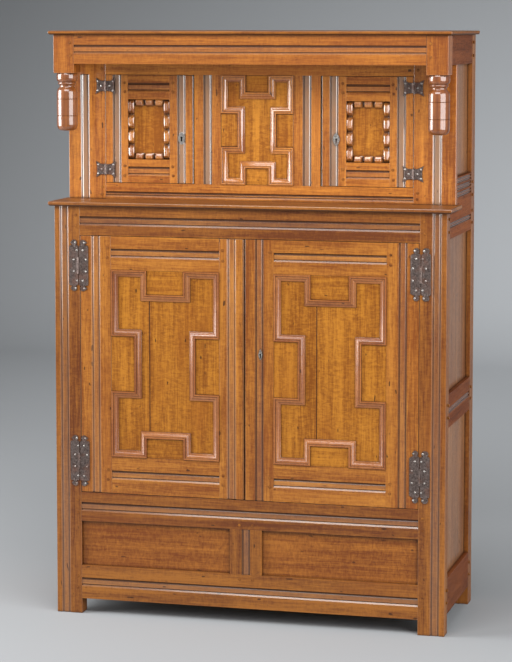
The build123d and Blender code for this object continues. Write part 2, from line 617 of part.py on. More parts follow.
rear_rail_specs = [
    (SIDE_RAIL_LIFT, SIDE_BOTTOM_TOP),
    (SIDE_TOP_BASE, WAIST_HEIGHT),
    (FRIEZE_BASE, CORNICE_BASE),
]
rear_inner = HALF - REAR_POST_THICK
rear_post = block(rear_inner, HALF, REAR_POST_FRONT, BACK, 0, CORNICE_BASE)
for cut in rear_post_cuts:
    rear_post -= on_side(cut)
rear_reach = THIN_TENON_LENGTH
rear_rails = []
for z0, z1 in rear_rail_specs:
    rear_rails.append(rail(-rear_inner, rear_inner, z0, z1, INNER_BACK, UPPER_THICK, rear_reach, rear_reach))
    rear_post -= mortise(rear_inner, 1, INNER_BACK, z0, z1, rear_reach)
keep("rear_posts", rear_post, mirrored(rear_post))
keep("rear_rails", *rear_rails)

back_boards = []
board_width = 2 * rear_inner / BACK_BOARD_COUNT
for k in range(BACK_BOARD_COUNT):
    x0 = -rear_inner + k * board_width + BACK_BOARD_GAP / 2
    back_boards.append(
        block(x0, x0 + board_width - BACK_BOARD_GAP, BACK - BOARD_THICK, BACK, SIDE_RAIL_LIFT, CORNICE_BASE)
    )
keep("back_boards", *back_boards)


# ---- shelf and cornice boards, with a run nose on the front and the ends ----
def nosed_board(half, y0, y1, z0, thick, top_radius, under_radius):
    """A board whose front and end edges are rounded over and hollowed to a soft nose."""
    board = block(-half, half, y0, y1, z0, z0 + thick)
    rims = [edge for edge in board.edges() if edge.center().Y < y1 - 1]
    upper = [edge for edge in rims if abs(edge.center().Z - z0 - thick) < 0.01]
    board = fillet(upper, top_radius)
    rims = [edge for edge in board.edges() if edge.center().Y < y1 - 1]
    lower = [edge for edge in rims if abs(edge.center().Z - z0) < 0.01]
    return fillet(lower, under_radius)


keep("shelf_board", nosed_board(
    HALF + SHELF_NOSE, FRONT - SHELF_NOSE, UPPER_BACK, WAIST_HEIGHT, SHELF_THICK,
    SHELF_THICK * 0.3, SHELF_THICK * 0.5))
keep("cornice_board", nosed_board(
    HALF + CORNICE_NOSE, FRONT - CORNICE_NOSE, BACK, CORNICE_BASE, CORNICE_THICK,
    CORNICE_THICK * 0.3, CORNICE_THICK * 0.5))

# ---- boards inside ----
inner_side = HALF - RAIL_THICK
floor_front = FRONT + RAIL_THICK
floor_base = FLOOR_TOP - INNER_BOARD_THICK
floor_boards = block(-inner_side, inner_side, floor_front, INNER_BACK, floor_base, FLOOR_TOP)
for side in (-1, 1):
    x0 = min(side * POST_INNER, side * HALF)
    floor_boards -= block(x0, x0 + POST_WIDTH, FRONT, side_base, 0, WAIST_HEIGHT)
    x1 = min(side * rear_inner, side * HALF)
    floor_boards -= block(x1, x1 + REAR_POST_THICK, REAR_POST_FRONT, BACK, 0, WAIST_HEIGHT)
keep("floor_boards", floor_boards)
shelf_back = INNER_BACK
shelf_front = shelf_back - INNER_SHELF_DEPTH
panel_back = SIDE_PANEL_SET + PANEL_EDGE_THICK + PANEL_FIELD_THICK
inner_shelf = block(-HALF + panel_back + 1, HALF - panel_back - 1, shelf_front, shelf_back,
                    INNER_SHELF_BASE, INNER_SHELF_BASE + INNER_BOARD_THICK)
for side in (-1, 1):
    x1 = min(side * rear_inner, side * HALF)
    inner_shelf -= block(x1, x1 + REAR_POST_THICK, REAR_POST_FRONT, BACK, 0, WAIST_HEIGHT)
keep("inner_shelf", inner_shelf)
deck_boards = block(-inner_side, inner_side, UPPER_BACK, INNER_BACK, WAIST_HEIGHT, SHELF_TOP)
for side in (-1, 1):
    x1 = min(side * rear_inner, side * HALF)
    deck_boards -= block(x1, x1 + REAR_POST_THICK, REAR_POST_FRONT, BACK, 0, HEIGHT)
keep("deck_boards", deck_boards)
cleats = []
for side in (-1, 1):
    x0 = side * inner_side
    x1 = side * (inner_side - CLEAT_SIDE)
    for top, y0 in ((FLOOR_TOP - INNER_BOARD_THICK, side_base), (INNER_SHELF_BASE, side_base)):
        z1 = top
        cleats.append(block(min(x0, x1), max(x0, x1), y0, REAR_POST_FRONT, z1 - CLEAT_SIDE, z1))
keep("inner_cleats", *cleats)

# ---- upper stage: frieze, pendants and cornice ----
frieze_inner = HALF - PENDANT_BLOCK
frieze = rail(-frieze_inner, frieze_inner, FRIEZE_BASE, CORNICE_BASE, FRONT)
frieze -= level_channel(-frieze_inner, frieze_inner, FRONT, (FRIEZE_BASE + CORNICE_BASE) / 2)
keep("frieze_rail", frieze)


def turned_drop():
    """The drop below a pendant block, turned about Z with its top at z = 0."""
    ring = -DROP_RING_HEIGHT
    bead = ring - DROP_BEAD_HEIGHT
    neck = bead - DROP_NECK_HEIGHT
    shoulder = DROP_RADIUS - DROP_NECK_RADIUS
    rounding = DROP_RADIUS - DROP_END_RADIUS
    end = DROP_END_HEIGHT - DROP_LENGTH
    outline = [(0, 0)]
    outline += [(DROP_RING_RADIUS * out, ring * down) for out, down in DROP_RING_CURVE]
    outline += [(DROP_BEAD_RADIUS, ring), (DROP_BEAD_RADIUS, bead)]
    outline += [(DROP_NECK_RADIUS, bead), (DROP_NECK_RADIUS, neck)]
    for out, down in DROP_SHOULDER_CURVE:
        outline += [(DROP_NECK_RADIUS + shoulder * out, neck - DROP_SHOULDER * down)]
    for depth in SCRIBE_DEPTHS:
        outline += [(DROP_RADIUS, SCRIBE_SIZE - depth), (DROP_RADIUS - SCRIBE_SIZE, -depth)]
        outline += [(DROP_RADIUS, -depth - SCRIBE_SIZE)]
    for out, down in DROP_END_CURVE:
        outline += [(DROP_RADIUS - rounding * out, end - DROP_END_HEIGHT * down)]
    outline += [(0, -DROP_LENGTH)]
    return revolve(Plane.XZ * make_face(Polyline(*outline, close=True)), axis=Axis.Z)


block_base = FRIEZE_BASE - PENDANT_BLOCK_BELOW
pendant = block(frieze_inner, HALF, FRONT, FRONT + PENDANT_BLOCK, block_base, CORNICE_BASE)
pendant -= mortise(frieze_inner, 1, FRONT, FRIEZE_BASE, CORNICE_BASE)
for cut in pendant_cuts:
    pendant -= on_side(cut)
pendant += Pos(HALF - PENDANT_BLOCK / 2, FRONT + PENDANT_BLOCK / 2, block_base) * turned_drop()
keep("pendants", pendant, mirrored(pendant))

# ---- upper stage: recessed front ----
upper_rails = {
    "upper_top_rail": (UPPER_OPENING_TOP, CORNICE_BASE),
    "upper_bottom_rail": (SHELF_TOP, UPPER_OPENING_BASE),
}
bay_face = UPPER_FRONT + PANEL_SET
bay_panel_left = BAY_LEFT + UPPER_MUNTIN_WIDTH
bay_panel_right = BAY_RIGHT - UPPER_MUNTIN_WIDTH
upper_edges = (("upper_top_rail", UPPER_OPENING_TOP, 1), ("upper_bottom_rail", UPPER_OPENING_BASE, -1))
upper_made = {}
for name, (z0, z1) in upper_rails.items():
    upper_made[name] = rail(UPPER_LEFT, UPPER_RIGHT, z0, z1, UPPER_FRONT, UPPER_THICK)
upper_made["upper_bottom_rail"] -= level_channel(
    UPPER_LEFT, UPPER_RIGHT, UPPER_FRONT, SHELF_TOP + UPPER_BOTTOM_CHANNEL_RISE, SIDE_CHANNEL_WIDTH)
upper_muntins = []
for u0 in (BAY_LEFT, bay_panel_right):
    u1 = u0 + UPPER_MUNTIN_WIDTH
    piece = block(u0, u1, UPPER_FRONT, UPPER_BACK, UPPER_OPENING_BASE, UPPER_OPENING_TOP)
    for name, edge, inward in upper_edges:
        piece += upright_tenon(u0, u1, UPPER_FRONT, edge, inward)
        upper_made[name] -= upright_tenon(u0, u1, UPPER_FRONT, edge, inward, TENON_FIT)
    piece -= upright_channel((u0 + u1) / 2, UPPER_FRONT, UPPER_OPENING_BASE, UPPER_OPENING_TOP)
    edge, inward = (u1, -1) if u0 == BAY_LEFT else (u0, 1)
    piece -= upright_groove(edge, inward, bay_face, UPPER_OPENING_BASE, UPPER_OPENING_TOP)
    upper_muntins.append(piece)
for name, edge, inward in upper_edges:
    u0, u1 = bay_panel_left - GROOVE_DEPTH, bay_panel_right + GROOVE_DEPTH
    upper_made[name] -= level_groove(u0, u1, bay_face, edge, inward)
for name, piece in upper_made.items():
    keep(name, piece)
keep("muntins", low_muntin, *upper_muntins)
bay_field = (bay_panel_left, bay_panel_right, UPPER_OPENING_BASE, UPPER_OPENING_TOP)
keep("centre_panel", panel(*bay_field, bay_face))
bay_notches = (BAY_NOTCH_WIDE, BAY_NOTCH_TALL, BAY_NOTCH_TALL, BAY_NOTCH_SIDE, BAY_NOTCH_SIDE_HEIGHT)
keep("centre_moulding", *mitred_strips(notched_outline(*bay_field, *bay_notches), bay_face))

for name, inner, side in (("upper_stile_left", UPPER_LEFT, -1), ("upper_stile_right", UPPER_RIGHT, 1)):
    outer = side * HALF
    stile = block(min(inner, outer), max(inner, outer), UPPER_FRONT, UPPER_BACK, SHELF_TOP, CORNICE_BASE)
    housing = block(HALF - RAIL_THICK, HALF, UPPER_FRONT, UPPER_BACK, FRIEZE_BASE, CORNICE_BASE)
    cuts = [housing] + [on_side(cut) for cut in upper_stile_cuts]
    for cut in cuts:
        stile -= cut if side > 0 else mirrored(cut)
    for z0, z1 in upper_rails.values():
        stile -= mortise(inner, side, UPPER_FRONT, z0, z1)
    channel_x = outer + (inner - outer) * UPPER_CHANNEL_SHARE
    stile -= upright_channel(channel_x, UPPER_FRONT, SHELF_TOP, UPPER_OPENING_TOP)
    keep(name, stile)


# ---- doors ----
def door_frame(u0, u1, z0, z1, left_stile, right_stile, top_rail, bottom_rail, face, thick):
    """Stiles, rails and panel opening of a door; returns stiles, rails and the opening."""
    p0, p1 = u0 + left_stile, u1 - right_stile
    q0, q1 = z0 + bottom_rail, z1 - top_rail
    panel_face = face + PANEL_SET
    stiles = []
    for s0, s1, edge, inward in ((u0, p0, p0, -1), (p1, u1, p1, 1)):
        piece = block(s0, s1, face, face + thick, z0, z1)
        for r0, r1 in ((z0, q0), (q1, z1)):
            piece -= mortise(edge, inward, face, r0, r1)
        piece -= upright_groove(edge, inward, panel_face, q0, q1)
        stiles.append(piece)
    rails = []
    for r0, r1, edge, inward in ((z0, q0, q0, -1), (q1, z1, q1, 1)):
        piece = rail(p0, p1, r0, r1, face, thick)
        piece -= level_groove(p0, p1, panel_face, edge, inward)
        rails.append(piece)
    return stiles, rails, (p0, p1, q0, q1)


def lock_pieces(edge, away, z, back):
    """Lock case and bolt behind a closing stile; away is the way the bolt is thrown along X."""
    near = edge - away * LOCK_EDGE
    far = near - away * LOCK_WIDTH
    half = LOCK_HEIGHT / 2
    case = block(min(near, far), max(near, far), back, back + LOCK_THICK, z - half, z + half)
    y0 = back + BOLT_SET
    tail = near - away * (BOLT_LENGTH + 2)
    z0, z1 = z - BOLT_HEIGHT / 2, z + BOLT_HEIGHT / 2
    y1 = y0 + BOLT_THICK
    ends = (min(near + away, tail), max(near + away, tail))
    tunnel = block(*ends, y0 - BOLT_FIT, y1 + BOLT_FIT, z0 - BOLT_FIT, z1 + BOLT_FIT)
    bolt_tail = near - away * BOLT_LENGTH
    bolt = block(min(near, bolt_tail), max(near, bolt_tail), y0, y0 + BOLT_THICK, z0, z1)
    return case - tunnel, bolt


def key_plate(u, z, face, halves):
    """Iron plate round a keyhole, an oval pointed at both ends."""
    half_width, half_height = halves
    side = [(0, half_height), (half_width * 0.6, half_height * 0.62), (half_width, 0),
            (half_width * 0.6, -half_height * 0.62)]
    outline = side + [(-a, -b) for a, b in side]
    blank = make_face(Polyline(*outline, close=True))
    plate = Location((u, face, z), (90, 0, 0)) * extrude(blank, PLATE_THICK)
    return plate - keyhole(u, z, face - PLATE_THICK, PLATE_THICK)


def hinge_nodes(door, heights, axis_x, face, outline, width, knuckle_height, right_hand):
    """Place the hinges of a door: keeps the door leaves and returns the post leaves."""
    fixed, moving = [], []
    for z in heights:
        post_leaf, door_leaf = hinge_set(outline, width, knuckle_height, right_hand)
        place = Pos(axis_x, face, z)
        fixed.append(place * post_leaf)
        moving.append(place * door_leaf)
    keep(door + "_hinge_leaves", *moving)
    return fixed


h_hinge = (h_outline(), H_LEAF_WIDTH, H_KNUCKLE_HEIGHT)
butterfly_hinge = (butterfly_outline(), B_LEAF_WIDTH, B_INNER_HEIGHT)
lower_door_rails = (LOWER_DOOR_TOP_RAIL, LOWER_DOOR_BOTTOM_RAIL)
upper_door_height = UPPER_OPENING_HEIGHT - 2 * DOOR_GAP
upper_door_rails = (upper_door_height * UPPER_DOOR_TOP_RAIL, upper_door_height * UPPER_DOOR_BOTTOM_RAIL)
door_notches = (NOTCH_WIDE, NOTCH_TOP, NOTCH_BOTTOM, NOTCH_SIDE, NOTCH_SIDE_HEIGHT)
lower_heights = (LOWER_OPENING_BASE + H_LOWER_RISE, LOWER_OPENING_TOP - H_UPPER_DROP)
upper_heights = (UPPER_OPENING_BASE + B_LOWER_RISE, UPPER_OPENING_TOP - B_UPPER_DROP)
lower_z = (LOWER_OPENING_BASE + DOOR_GAP, LOWER_OPENING_TOP - DOOR_GAP)
upper_z = (UPPER_OPENING_BASE + DOOR_GAP, UPPER_OPENING_TOP - DOOR_GAP)

doors = {
    "lower_left_door": dict(
        span=(-POST_INNER + DOOR_GAP, MEETING_X - CLOSING_GAP / 2), rise=lower_z,
        face=FRONT, thick=RAIL_THICK,
        stiles=(LOWER_HANGING_STILE, LEFT_CLOSING_STILE), rails=lower_door_rails,
        hand=-1, lock=None),
    "lower_right_door": dict(
        span=(MEETING_X + CLOSING_GAP / 2, POST_INNER - DOOR_GAP), rise=lower_z,
        face=FRONT, thick=RAIL_THICK,
        stiles=(RIGHT_CLOSING_STILE, LOWER_HANGING_STILE), rails=lower_door_rails,
        hand=1, lock=(LOWER_KEYHOLE_INSET, LOWER_KEYHOLE_HEIGHT, NARROW_PLATE)),
    "upper_left_door": dict(
        span=(UPPER_LEFT + DOOR_GAP, BAY_LEFT - CLOSING_GAP), rise=upper_z,
        face=UPPER_FRONT, thick=UPPER_THICK,
        stiles=(UPPER_HANGING_STILE, UPPER_CLOSING_STILE), rails=upper_door_rails,
        hand=-1, lock=(UPPER_LEFT_KEYHOLE_INSET, UPPER_KEYHOLE_HEIGHT, None)),
    "upper_right_door": dict(
        span=(BAY_RIGHT + CLOSING_GAP, UPPER_RIGHT - DOOR_GAP), rise=upper_z,
        face=UPPER_FRONT, thick=UPPER_THICK,
        stiles=(UPPER_CLOSING_STILE, UPPER_HANGING_STILE), rails=upper_door_rails,
        hand=1, lock=(UPPER_RIGHT_KEYHOLE_INSET, UPPER_KEYHOLE_HEIGHT, OVAL_PLATE)),
}
lower_fixed, upper_fixed = [], []
for name, door in doors.items():
    u0, u1 = door["span"]
    z0, z1 = door["rise"]
    face, thick, hand = door["face"], door["thick"], door["hand"]
    top_rail, bottom_rail = door["rails"]
    lengths = (*door["stiles"], top_rail, bottom_rail)
    stiles, rails, opening = door_frame(u0, u1, z0, z1, *lengths, face, thick)
    p0, p1, q0, q1 = opening
    for k, (s0, s1) in enumerate(((u0, p0), (p1, u1))):
        stiles[k] -= upright_channel((s0 + s1) / 2, face, z0, z1)
    rails[0] -= level_channel(p0, p1, face, (z0 + q0) / 2)
    rails[1] -= level_channel(p0, p1, face, (q1 + z1) / 2)
    closing = 1 if hand < 0 else 0
    closing_edge = u1 if hand < 0 else u0
    if door["lock"]:
        inset, key_z, plate = door["lock"]
        key_u = closing_edge + hand * inset
        stiles[closing] -= keyhole(key_u, key_z, face, thick)
        case, bolt = lock_pieces(closing_edge, -hand, key_z, face + thick)
        channel_u = (u1 + p1) / 2 if closing else (u0 + p0) / 2
        iron = [case]
        if plate:
            sunk = abs(key_u - channel_u) + plate[0] < CHANNEL_WIDTH / 2
            iron.append(key_plate(key_u, key_z, face + (CHANNEL_FLAT if sunk else 0), plate))
        keep(name + "_lock", *iron)
        keep(name + "_bolt", bolt)
    keep(name + "_stiles", *stiles)
    keep(name + "_rails", *rails)
    keep(name + "_panel", panel(p0, p1, q0, q1, face + PANEL_SET))
    if name.startswith("lower"):
        corners = notched_outline(*opening, *door_notches)
        keep(name + "_moulding", *mitred_strips(corners, face + PANEL_SET))
        axis_x = hand * (POST_INNER - DOOR_GAP / 2)
        lower_fixed += hinge_nodes(name, lower_heights, axis_x, face, *h_hinge, hand > 0)
    else:
        keep(name + "_border", *notched_border(p0, p1, q0, q1, face + PANEL_SET))
        axis_x = (UPPER_LEFT + DOOR_GAP / 2) if hand < 0 else (UPPER_RIGHT - DOOR_GAP / 2)
        upper_fixed += hinge_nodes(name, upper_heights, axis_x, face, *butterfly_hinge, hand > 0)
keep("lower_post_hinge_leaves", *lower_fixed)
keep("upper_post_hinge_leaves", *upper_fixed)

# ---- blocks behind the rails that stop the doors, and the button that holds the lower left door ----
stops = []
for door in doors.values():
    hanging_edge = door["span"][0] if door["hand"] < 0 else door["span"][1]
    middle = hanging_edge - door["hand"] * STOP_INSET
    back = door["face"] + door["thick"]
    z0 = door["rise"][1] + DOOR_GAP - STOP_DROP
    half = STOP_LENGTH / 2
    stops.append(block(middle - half, middle + half, back, back + STOP_THICK, z0, z0 + STOP_HEIGHT))
keep("door_stops", *stops)

button_z = LOWER_OPENING_TOP + BUTTON_RISE
button_y = FRONT + RAIL_THICK + BUTTON_GAP
button_plan = Location((BUTTON_X, button_y, button_z), (-90, 0, 0))
half_length, half_height = BUTTON_LENGTH / 2, BUTTON_HEIGHT / 2
shape = [(half_length, half_height - BUTTON_CLIP), (half_length - BUTTON_CLIP, half_height)]
shape += [(-u, v) for u, v in shape[::-1]]
shape += [(-u, -v) for u, v in shape]
bolt_hole = forged_bar(NAIL_RADIUS + NAIL_FIT, PIN_SIDES, 2 * BUTTON_THICK + 2, outside=False)
button = extrude(make_face(Polyline(*shape, close=True)), BUTTON_THICK) - bolt_hole
keep("turn_button", button_plan * button)
reach = BUTTON_THICK + BUTTON_GAP
nail = Pos(0, 0, (reach - NAIL_BITE) / 2) * forged_bar(NAIL_RADIUS, PIN_SIDES, reach + NAIL_BITE)
nail += Pos(0, 0, reach + NAIL_HEAD_THICK / 2) * forged_bar(NAIL_HEAD_RADIUS, LOBE_SIDES, NAIL_HEAD_THICK)
keep("button_nail", button_plan * nail)
bite = button_plan * Pos(0, 0, -NAIL_BITE / 2) * forged_bar(NAIL_RADIUS, PIN_SIDES, NAIL_BITE)
keep("lower_top_rail", nodes["lower_top_rail"] - bite)

for name, shape in nodes.items():
    export_step(shape, f"parts/{name}.step")
print(len(nodes), "nodes written")
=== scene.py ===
"""Court cupboard in joined oak: its boards, mouldings, turned drops, ironwork, finishes, floor and light.

Metres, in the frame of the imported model. X runs to the right, Y to the back and Z up.
"""
import json
import math
import random
from contextlib import contextmanager
from functools import partialmethod

import bmesh
import bpy
from bpy.props import FloatProperty, FloatVectorProperty, IntProperty, PointerProperty
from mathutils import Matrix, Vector

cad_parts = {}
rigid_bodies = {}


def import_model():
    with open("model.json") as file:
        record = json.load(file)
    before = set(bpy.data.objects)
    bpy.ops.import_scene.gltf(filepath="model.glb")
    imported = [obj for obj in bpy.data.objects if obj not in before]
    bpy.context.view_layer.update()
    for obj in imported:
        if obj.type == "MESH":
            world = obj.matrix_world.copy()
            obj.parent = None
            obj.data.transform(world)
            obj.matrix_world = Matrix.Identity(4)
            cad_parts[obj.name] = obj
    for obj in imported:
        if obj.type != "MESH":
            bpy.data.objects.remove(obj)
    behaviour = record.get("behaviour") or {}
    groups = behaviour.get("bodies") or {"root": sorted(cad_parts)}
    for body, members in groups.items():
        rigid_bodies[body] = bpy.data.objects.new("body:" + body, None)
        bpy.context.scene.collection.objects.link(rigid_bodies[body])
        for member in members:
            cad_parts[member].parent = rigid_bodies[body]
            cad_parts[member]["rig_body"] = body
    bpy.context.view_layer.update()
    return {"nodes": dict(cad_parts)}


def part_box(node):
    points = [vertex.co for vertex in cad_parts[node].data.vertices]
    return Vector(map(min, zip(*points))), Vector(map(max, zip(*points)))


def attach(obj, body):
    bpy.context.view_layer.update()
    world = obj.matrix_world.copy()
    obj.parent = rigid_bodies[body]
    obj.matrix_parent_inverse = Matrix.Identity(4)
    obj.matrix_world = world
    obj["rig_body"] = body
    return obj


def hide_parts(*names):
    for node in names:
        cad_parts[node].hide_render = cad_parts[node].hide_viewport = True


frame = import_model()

bl_info = {
    "name": "Court cupboard",
    "version": (1, 0, 0),
    "blender": (4, 5, 0),
    "location": "3D View > Sidebar > Cupboard",
    "description": "Models and finishes a joined oak court cupboard over its packed frame",
    "category": "Add Mesh",
}

DOORS = ("lower_left_door", "lower_right_door", "upper_left_door", "upper_right_door")
CARCASS_BOARDS = {
    "carcass oak": (
        "front_post_left", "front_post_right", "rear_posts", "lower_top_rail", "under_door_rail",
        "bottom_rail", "muntins",
    ),
    "shelf oak": ("shelf_board",),
    "top oak": ("cornice_board",),
    "side rail oak": ("side_rails_left", "side_rails_right"),
    "side oak": ("side_panels",),
    "low panel oak": ("lower_panels",),
    "upper oak": ("upper_stile_left", "upper_stile_right"),
    "upper rail oak": ("upper_top_rail", "upper_bottom_rail"),
    "frieze oak": ("frieze_rail",),
    "upper panel oak": ("centre_panel",),
}
INNER_BOARDS = (
    "back_boards", "deck_boards", "floor_boards", "inner_shelf", "inner_cleats", "rear_rails",
    "door_stops", "turn_button",
)


# ---- places, sections and sizes, in metres ----
PANEL_JOINTS = {"lower_left_door_panel": (-0.290,), "lower_right_door_panel": (0.202,)}
DOOR_FIELD = (0.34, 0.127, 0.105, 0.217, 0.295)
MOULDED_FIELDS = {  # blocks out of the edges: width, top, bottom, side, side height, as shares
    "lower_left_door_moulding": DOOR_FIELD,
    "lower_right_door_moulding": DOOR_FIELD,
    "centre_moulding": (0.312, 0.153, 0.153, 0.233, 0.303),
}
STRIP_STEPS = (  # section of the applied moulding: across from its outer edge, and height
    (0.0, 0.0100), (0.0008, 0.0110), (0.0042, 0.0110), (0.0050, 0.0102), (0.0053, 0.0088),
    (0.0066, 0.0092), (0.0085, 0.0090), (0.0108, 0.0077), (0.0128, 0.0057), (0.0148, 0.0040),
    (0.0168, 0.0032), (0.0183, 0.0031), (0.0190, 0.0026), (0.0196, 0.0014), (0.0199, -0.0024),
)
BURIED = 0.0030  # how deep mouldings and blocks reach into the panel
QUIRK = (0.00865, 0.00885)  # heights between which the quirk of the moulding lies, darkened with painted shade
MOULDING_FOOT = 0.0016  # height of its foot on the panel, darkened with painted shade
BLOCK_STAND = 0.0072
BLOCK_GAP = 0.0006
TOOTH_WIDTH = 0.018
TEETH_UP = 4
TEETH_ACROSS = (-1, 0, 1)
TOOTH_CUT = 0.25  # of a tooth's length, at each end
TOOTH_ARRIS = 0.0005
TOOTH_STEPS = (  # section of a tooth: across from its outer edge, and depth under its front
    (0.0, 0.0036), (0.0022, 0.0022), (0.0064, 0.0004), (0.0078, 0.0002), (0.0088, 0.0012),
    (0.0098, 0.0003), (0.0118, 0.0), (0.0136, 0.0004), (0.0158, 0.0017), (0.0180, 0.0038),
)
DROP_BURIED = 0.0010  # top of a drop inside its block
DROP_STEPS = (  # turned drop: radius, and depth under its block
    (0.0280, -DROP_BURIED), (0.0284, 0.0), (0.0296, 0.0020), (0.0304, 0.0060), (0.0306, 0.0110),
    (0.0303, 0.0160), (0.0293, 0.0200), (0.0276, 0.0230), (0.0256, 0.0242), (0.0244, 0.0252),
    (0.0242, 0.0264), (0.0254, 0.0272), (0.0261, 0.0290), (0.0257, 0.0310), (0.0242, 0.0322),
    (0.0220, 0.0336), (0.0213, 0.0362), (0.0215, 0.0390), (0.0226, 0.0412), (0.0248, 0.0432),
    (0.0274, 0.0465), (0.0291, 0.0510), (0.0298, 0.0560), (0.0299, 0.0650), (0.0299, 0.0728),
    (0.0287, 0.0740), (0.0299, 0.0752), (0.0299, 0.0980), (0.0299, 0.1208), (0.0287, 0.1220),
    (0.0299, 0.1232), (0.0299, 0.1440), (0.0296, 0.1500), (0.0286, 0.1550), (0.0264, 0.1596),
    (0.0230, 0.1628), (0.0185, 0.1646), (0.0140, 0.1650),
)
MEETING_ROUND = 0.0032  # rounding of a door's meeting edge
JOINT_WIDTH = 0.0034  # open line between the boards of a panel
JOINT_DEPTH = 0.0020
GLUED_WIDTH = 0.2  # a board wider than this is glued up where it has splits
GROOVE_FLOOR = 0.0028  # the grooves beside the channels of the front rails
GROOVE_SIDE = 0.0016
GROOVE_SLOPE = 0.0025
GROOVE_LENGTH = 0.08  # the shortest
CHANNEL_DEPTHS = (0.0004, 0.0034)  # depths between which a face is part of a channel
HOLLOW_DEPTH = 0.0017  # depth at which the dirt and painted shade of a channel begin
JOINT_DIRT = 1.5  # how thick dirt lies in the joints of a panel; then how dark the painted shade is in fine lines and between teeth
PAINTED_LINE_SHADE = 1.1
PAINTED_TOOTH_SHADE = 1.2
FACING = 0.9  # how far the normal of a front face points to the front
INSIDE_SOFTNESS = 0.0008
NEAR = 0.00001  # points closer than this count as one place
WELD = 0.00002
H_HINGE_X = 0.49575
H_HINGE_HEIGHTS = (0.4505, 1.0190)
H_LEAF_MIDDLE = 0.013
H_LEAF_EDGE = 0.024
H_LEAF_BAND = 0.004  # strip along the edge that is drawn out
H_LEAF_WIDER = {True: 0.003, False: 0.0045}  # a post's leaf and a door's
H_FACE = -0.2167
H_NAILS = ((0, 0.066), (0, -0.066), (-0.004, 0.044), (-0.004, -0.044), (0.005, 0.017), (0.005, -0.017))
B_HINGE_X = (-0.45925, 0.45025)
B_HINGE_HEIGHTS = (1.2890, 1.5310)
B_LEAF_MIDDLE = 0.0155
B_FACE = -0.0847
B_NAILS = ((0.0075, 0.013), (0.0075, -0.013), (-0.003, 0.0))
LEAF_RIM = 0.0020
LEAF_SUNK = 0.0006
LEAF_AREA = 0.0005  # square metres; the smallest face that is a leaf's front
LEAF_SOFTNESS = 0.0003
NAIL_SIDES = 7
NAIL_TURN = 0.7  # radians from one nail to the next
NAIL_RIMS = ((0.28, 0.0005), (0.36, 0.0003))  # insets of its head: share of its radius, and rise
ORIGIN = (0, 0, 0)
PEG_SIDES = 9
PEG_LENGTH = 0.004
PEG_RIM = (0.25, 0.4)  # inset of its end: shares of its radius and of its stand
PEG_STRAY = (0.0012, 0.0015)  # across and up
SHEET = 0.0008  # thickness of the thin iron
KEYHOLE = (-0.2300, -0.0810, 1.3815)  # eye of the upper left lock, on its stile
KEY_PLATE_SPAN = (0.0195, 0.036)
KEY_PLATE_RIMS = ((0.0006, 0.0002), (0.0030, 0.0001))  # insets of its front: width and rise
KEY_EYE = (0.0033, 0.002)  # radius, and height over the middle
KEY_SLOT = (0.0018, 0.0085)  # half its width, and its foot under the middle
KEY_SLOT_FLARE = 1.5
KEY_DEPTHS = (0.00095, 0.0006, 0.0002)  # before the stile: slot's front, eye's middle, slot's back


def pegs_at(across, deep, heights, spread=0.0, sideways=False):
    """Places of pegs, in pairs where they have a spread, and the way each faces (0 is the front)."""
    steps = (-spread, spread) if spread else (0.0,)
    return [(x, y, z + step, math.copysign(1, x) if sideways else 0)
            for x in across for y in deep for z in heights for step in steps]


FRONT_FACE = -0.2145
UPPER_FACE = -0.0825
LOWER_RAILS = (0.4135, 1.0575)
UPPER_RAILS = (1.2850, 1.5280)
PEGS = {
    "lower_left_door": pegs_at((-0.4140, -0.0700), (FRONT_FACE,), LOWER_RAILS, 0.0135),
    "lower_right_door": pegs_at((0.0680, 0.4140), (FRONT_FACE,), LOWER_RAILS, 0.0135),
    "upper_left_door": pegs_at((-0.4015, -0.2560), (UPPER_FACE,), UPPER_RAILS, 0.0135),
    "upper_right_door": pegs_at((0.2470, 0.3925), (UPPER_FACE,), UPPER_RAILS, 0.0135),
    "cabinet": [
        *pegs_at((-0.5085, 0.5085), (FRONT_FACE,), (0.0938, 0.3162, 1.1485), 0.017),
        *pegs_at((-0.5225, 0.5225), (FRONT_FACE,), (1.6385,), 0.019),
        *pegs_at((-0.4720, 0.4630), (UPPER_FACE,), (1.2170, 1.2360, 1.5800)),
        *pegs_at((-0.0220, 0.0160), (FRONT_FACE,), (0.1290, 0.2860)),
        *pegs_at((-0.5725, 0.5725), (-0.1820, 0.1880), (0.1060, 0.6325, 1.1525), 0.018, True),
        *pegs_at((-0.5725, 0.5725), (0.1880,), (1.2350, 1.6385), 0.018, True),
    ],
}


# ---- colours, finishes, light and camera ----
WOODS = {  # label, where it is, bright grain and dark grain
    "frame": ("Frame", "door frames", (0.42, 0.160, 0.022), (0.165, 0.043, 0.006)),
    "carcass": ("Carcass", "posts and rails", (0.29, 0.104, 0.016), (0.105, 0.027, 0.006)),
    # The side panels' colours are lighter and greyer, in part a painted sheen of the grazing light on the
    # sides.
    "side": ("Side", "side panels", (0.31, 0.140, 0.056), (0.145, 0.060, 0.025)),
    "side_rail": ("Side rail", "side rails", (0.22, 0.068, 0.022), (0.080, 0.022, 0.008)),
    "upper": ("Upper frame", "upper frame", (0.50, 0.183, 0.026), (0.200, 0.052, 0.008)),
    "frieze": ("Frieze", "frieze", (0.37, 0.125, 0.016), (0.170, 0.043, 0.006)),
    "low": ("Low panel", "low panels", (0.33, 0.115, 0.016), (0.145, 0.037, 0.005)),
    "panel": ("Panel", "door panels", (0.41, 0.158, 0.015), (0.180, 0.052, 0.004)),
    "upper_panel": ("Upper panel", "upper panels", (0.48, 0.187, 0.021), (0.210, 0.062, 0.006)),
    "moulding": ("Moulding", "applied mouldings", (0.36, 0.130, 0.030), (0.170, 0.043, 0.008)),
    "drop": ("Drop", "turned drops", (0.26, 0.082, 0.017), (0.105, 0.026, 0.006)),
    "inside": ("Inside", "dry boards inside", (0.30, 0.19, 0.105), (0.15, 0.088, 0.047)),
}
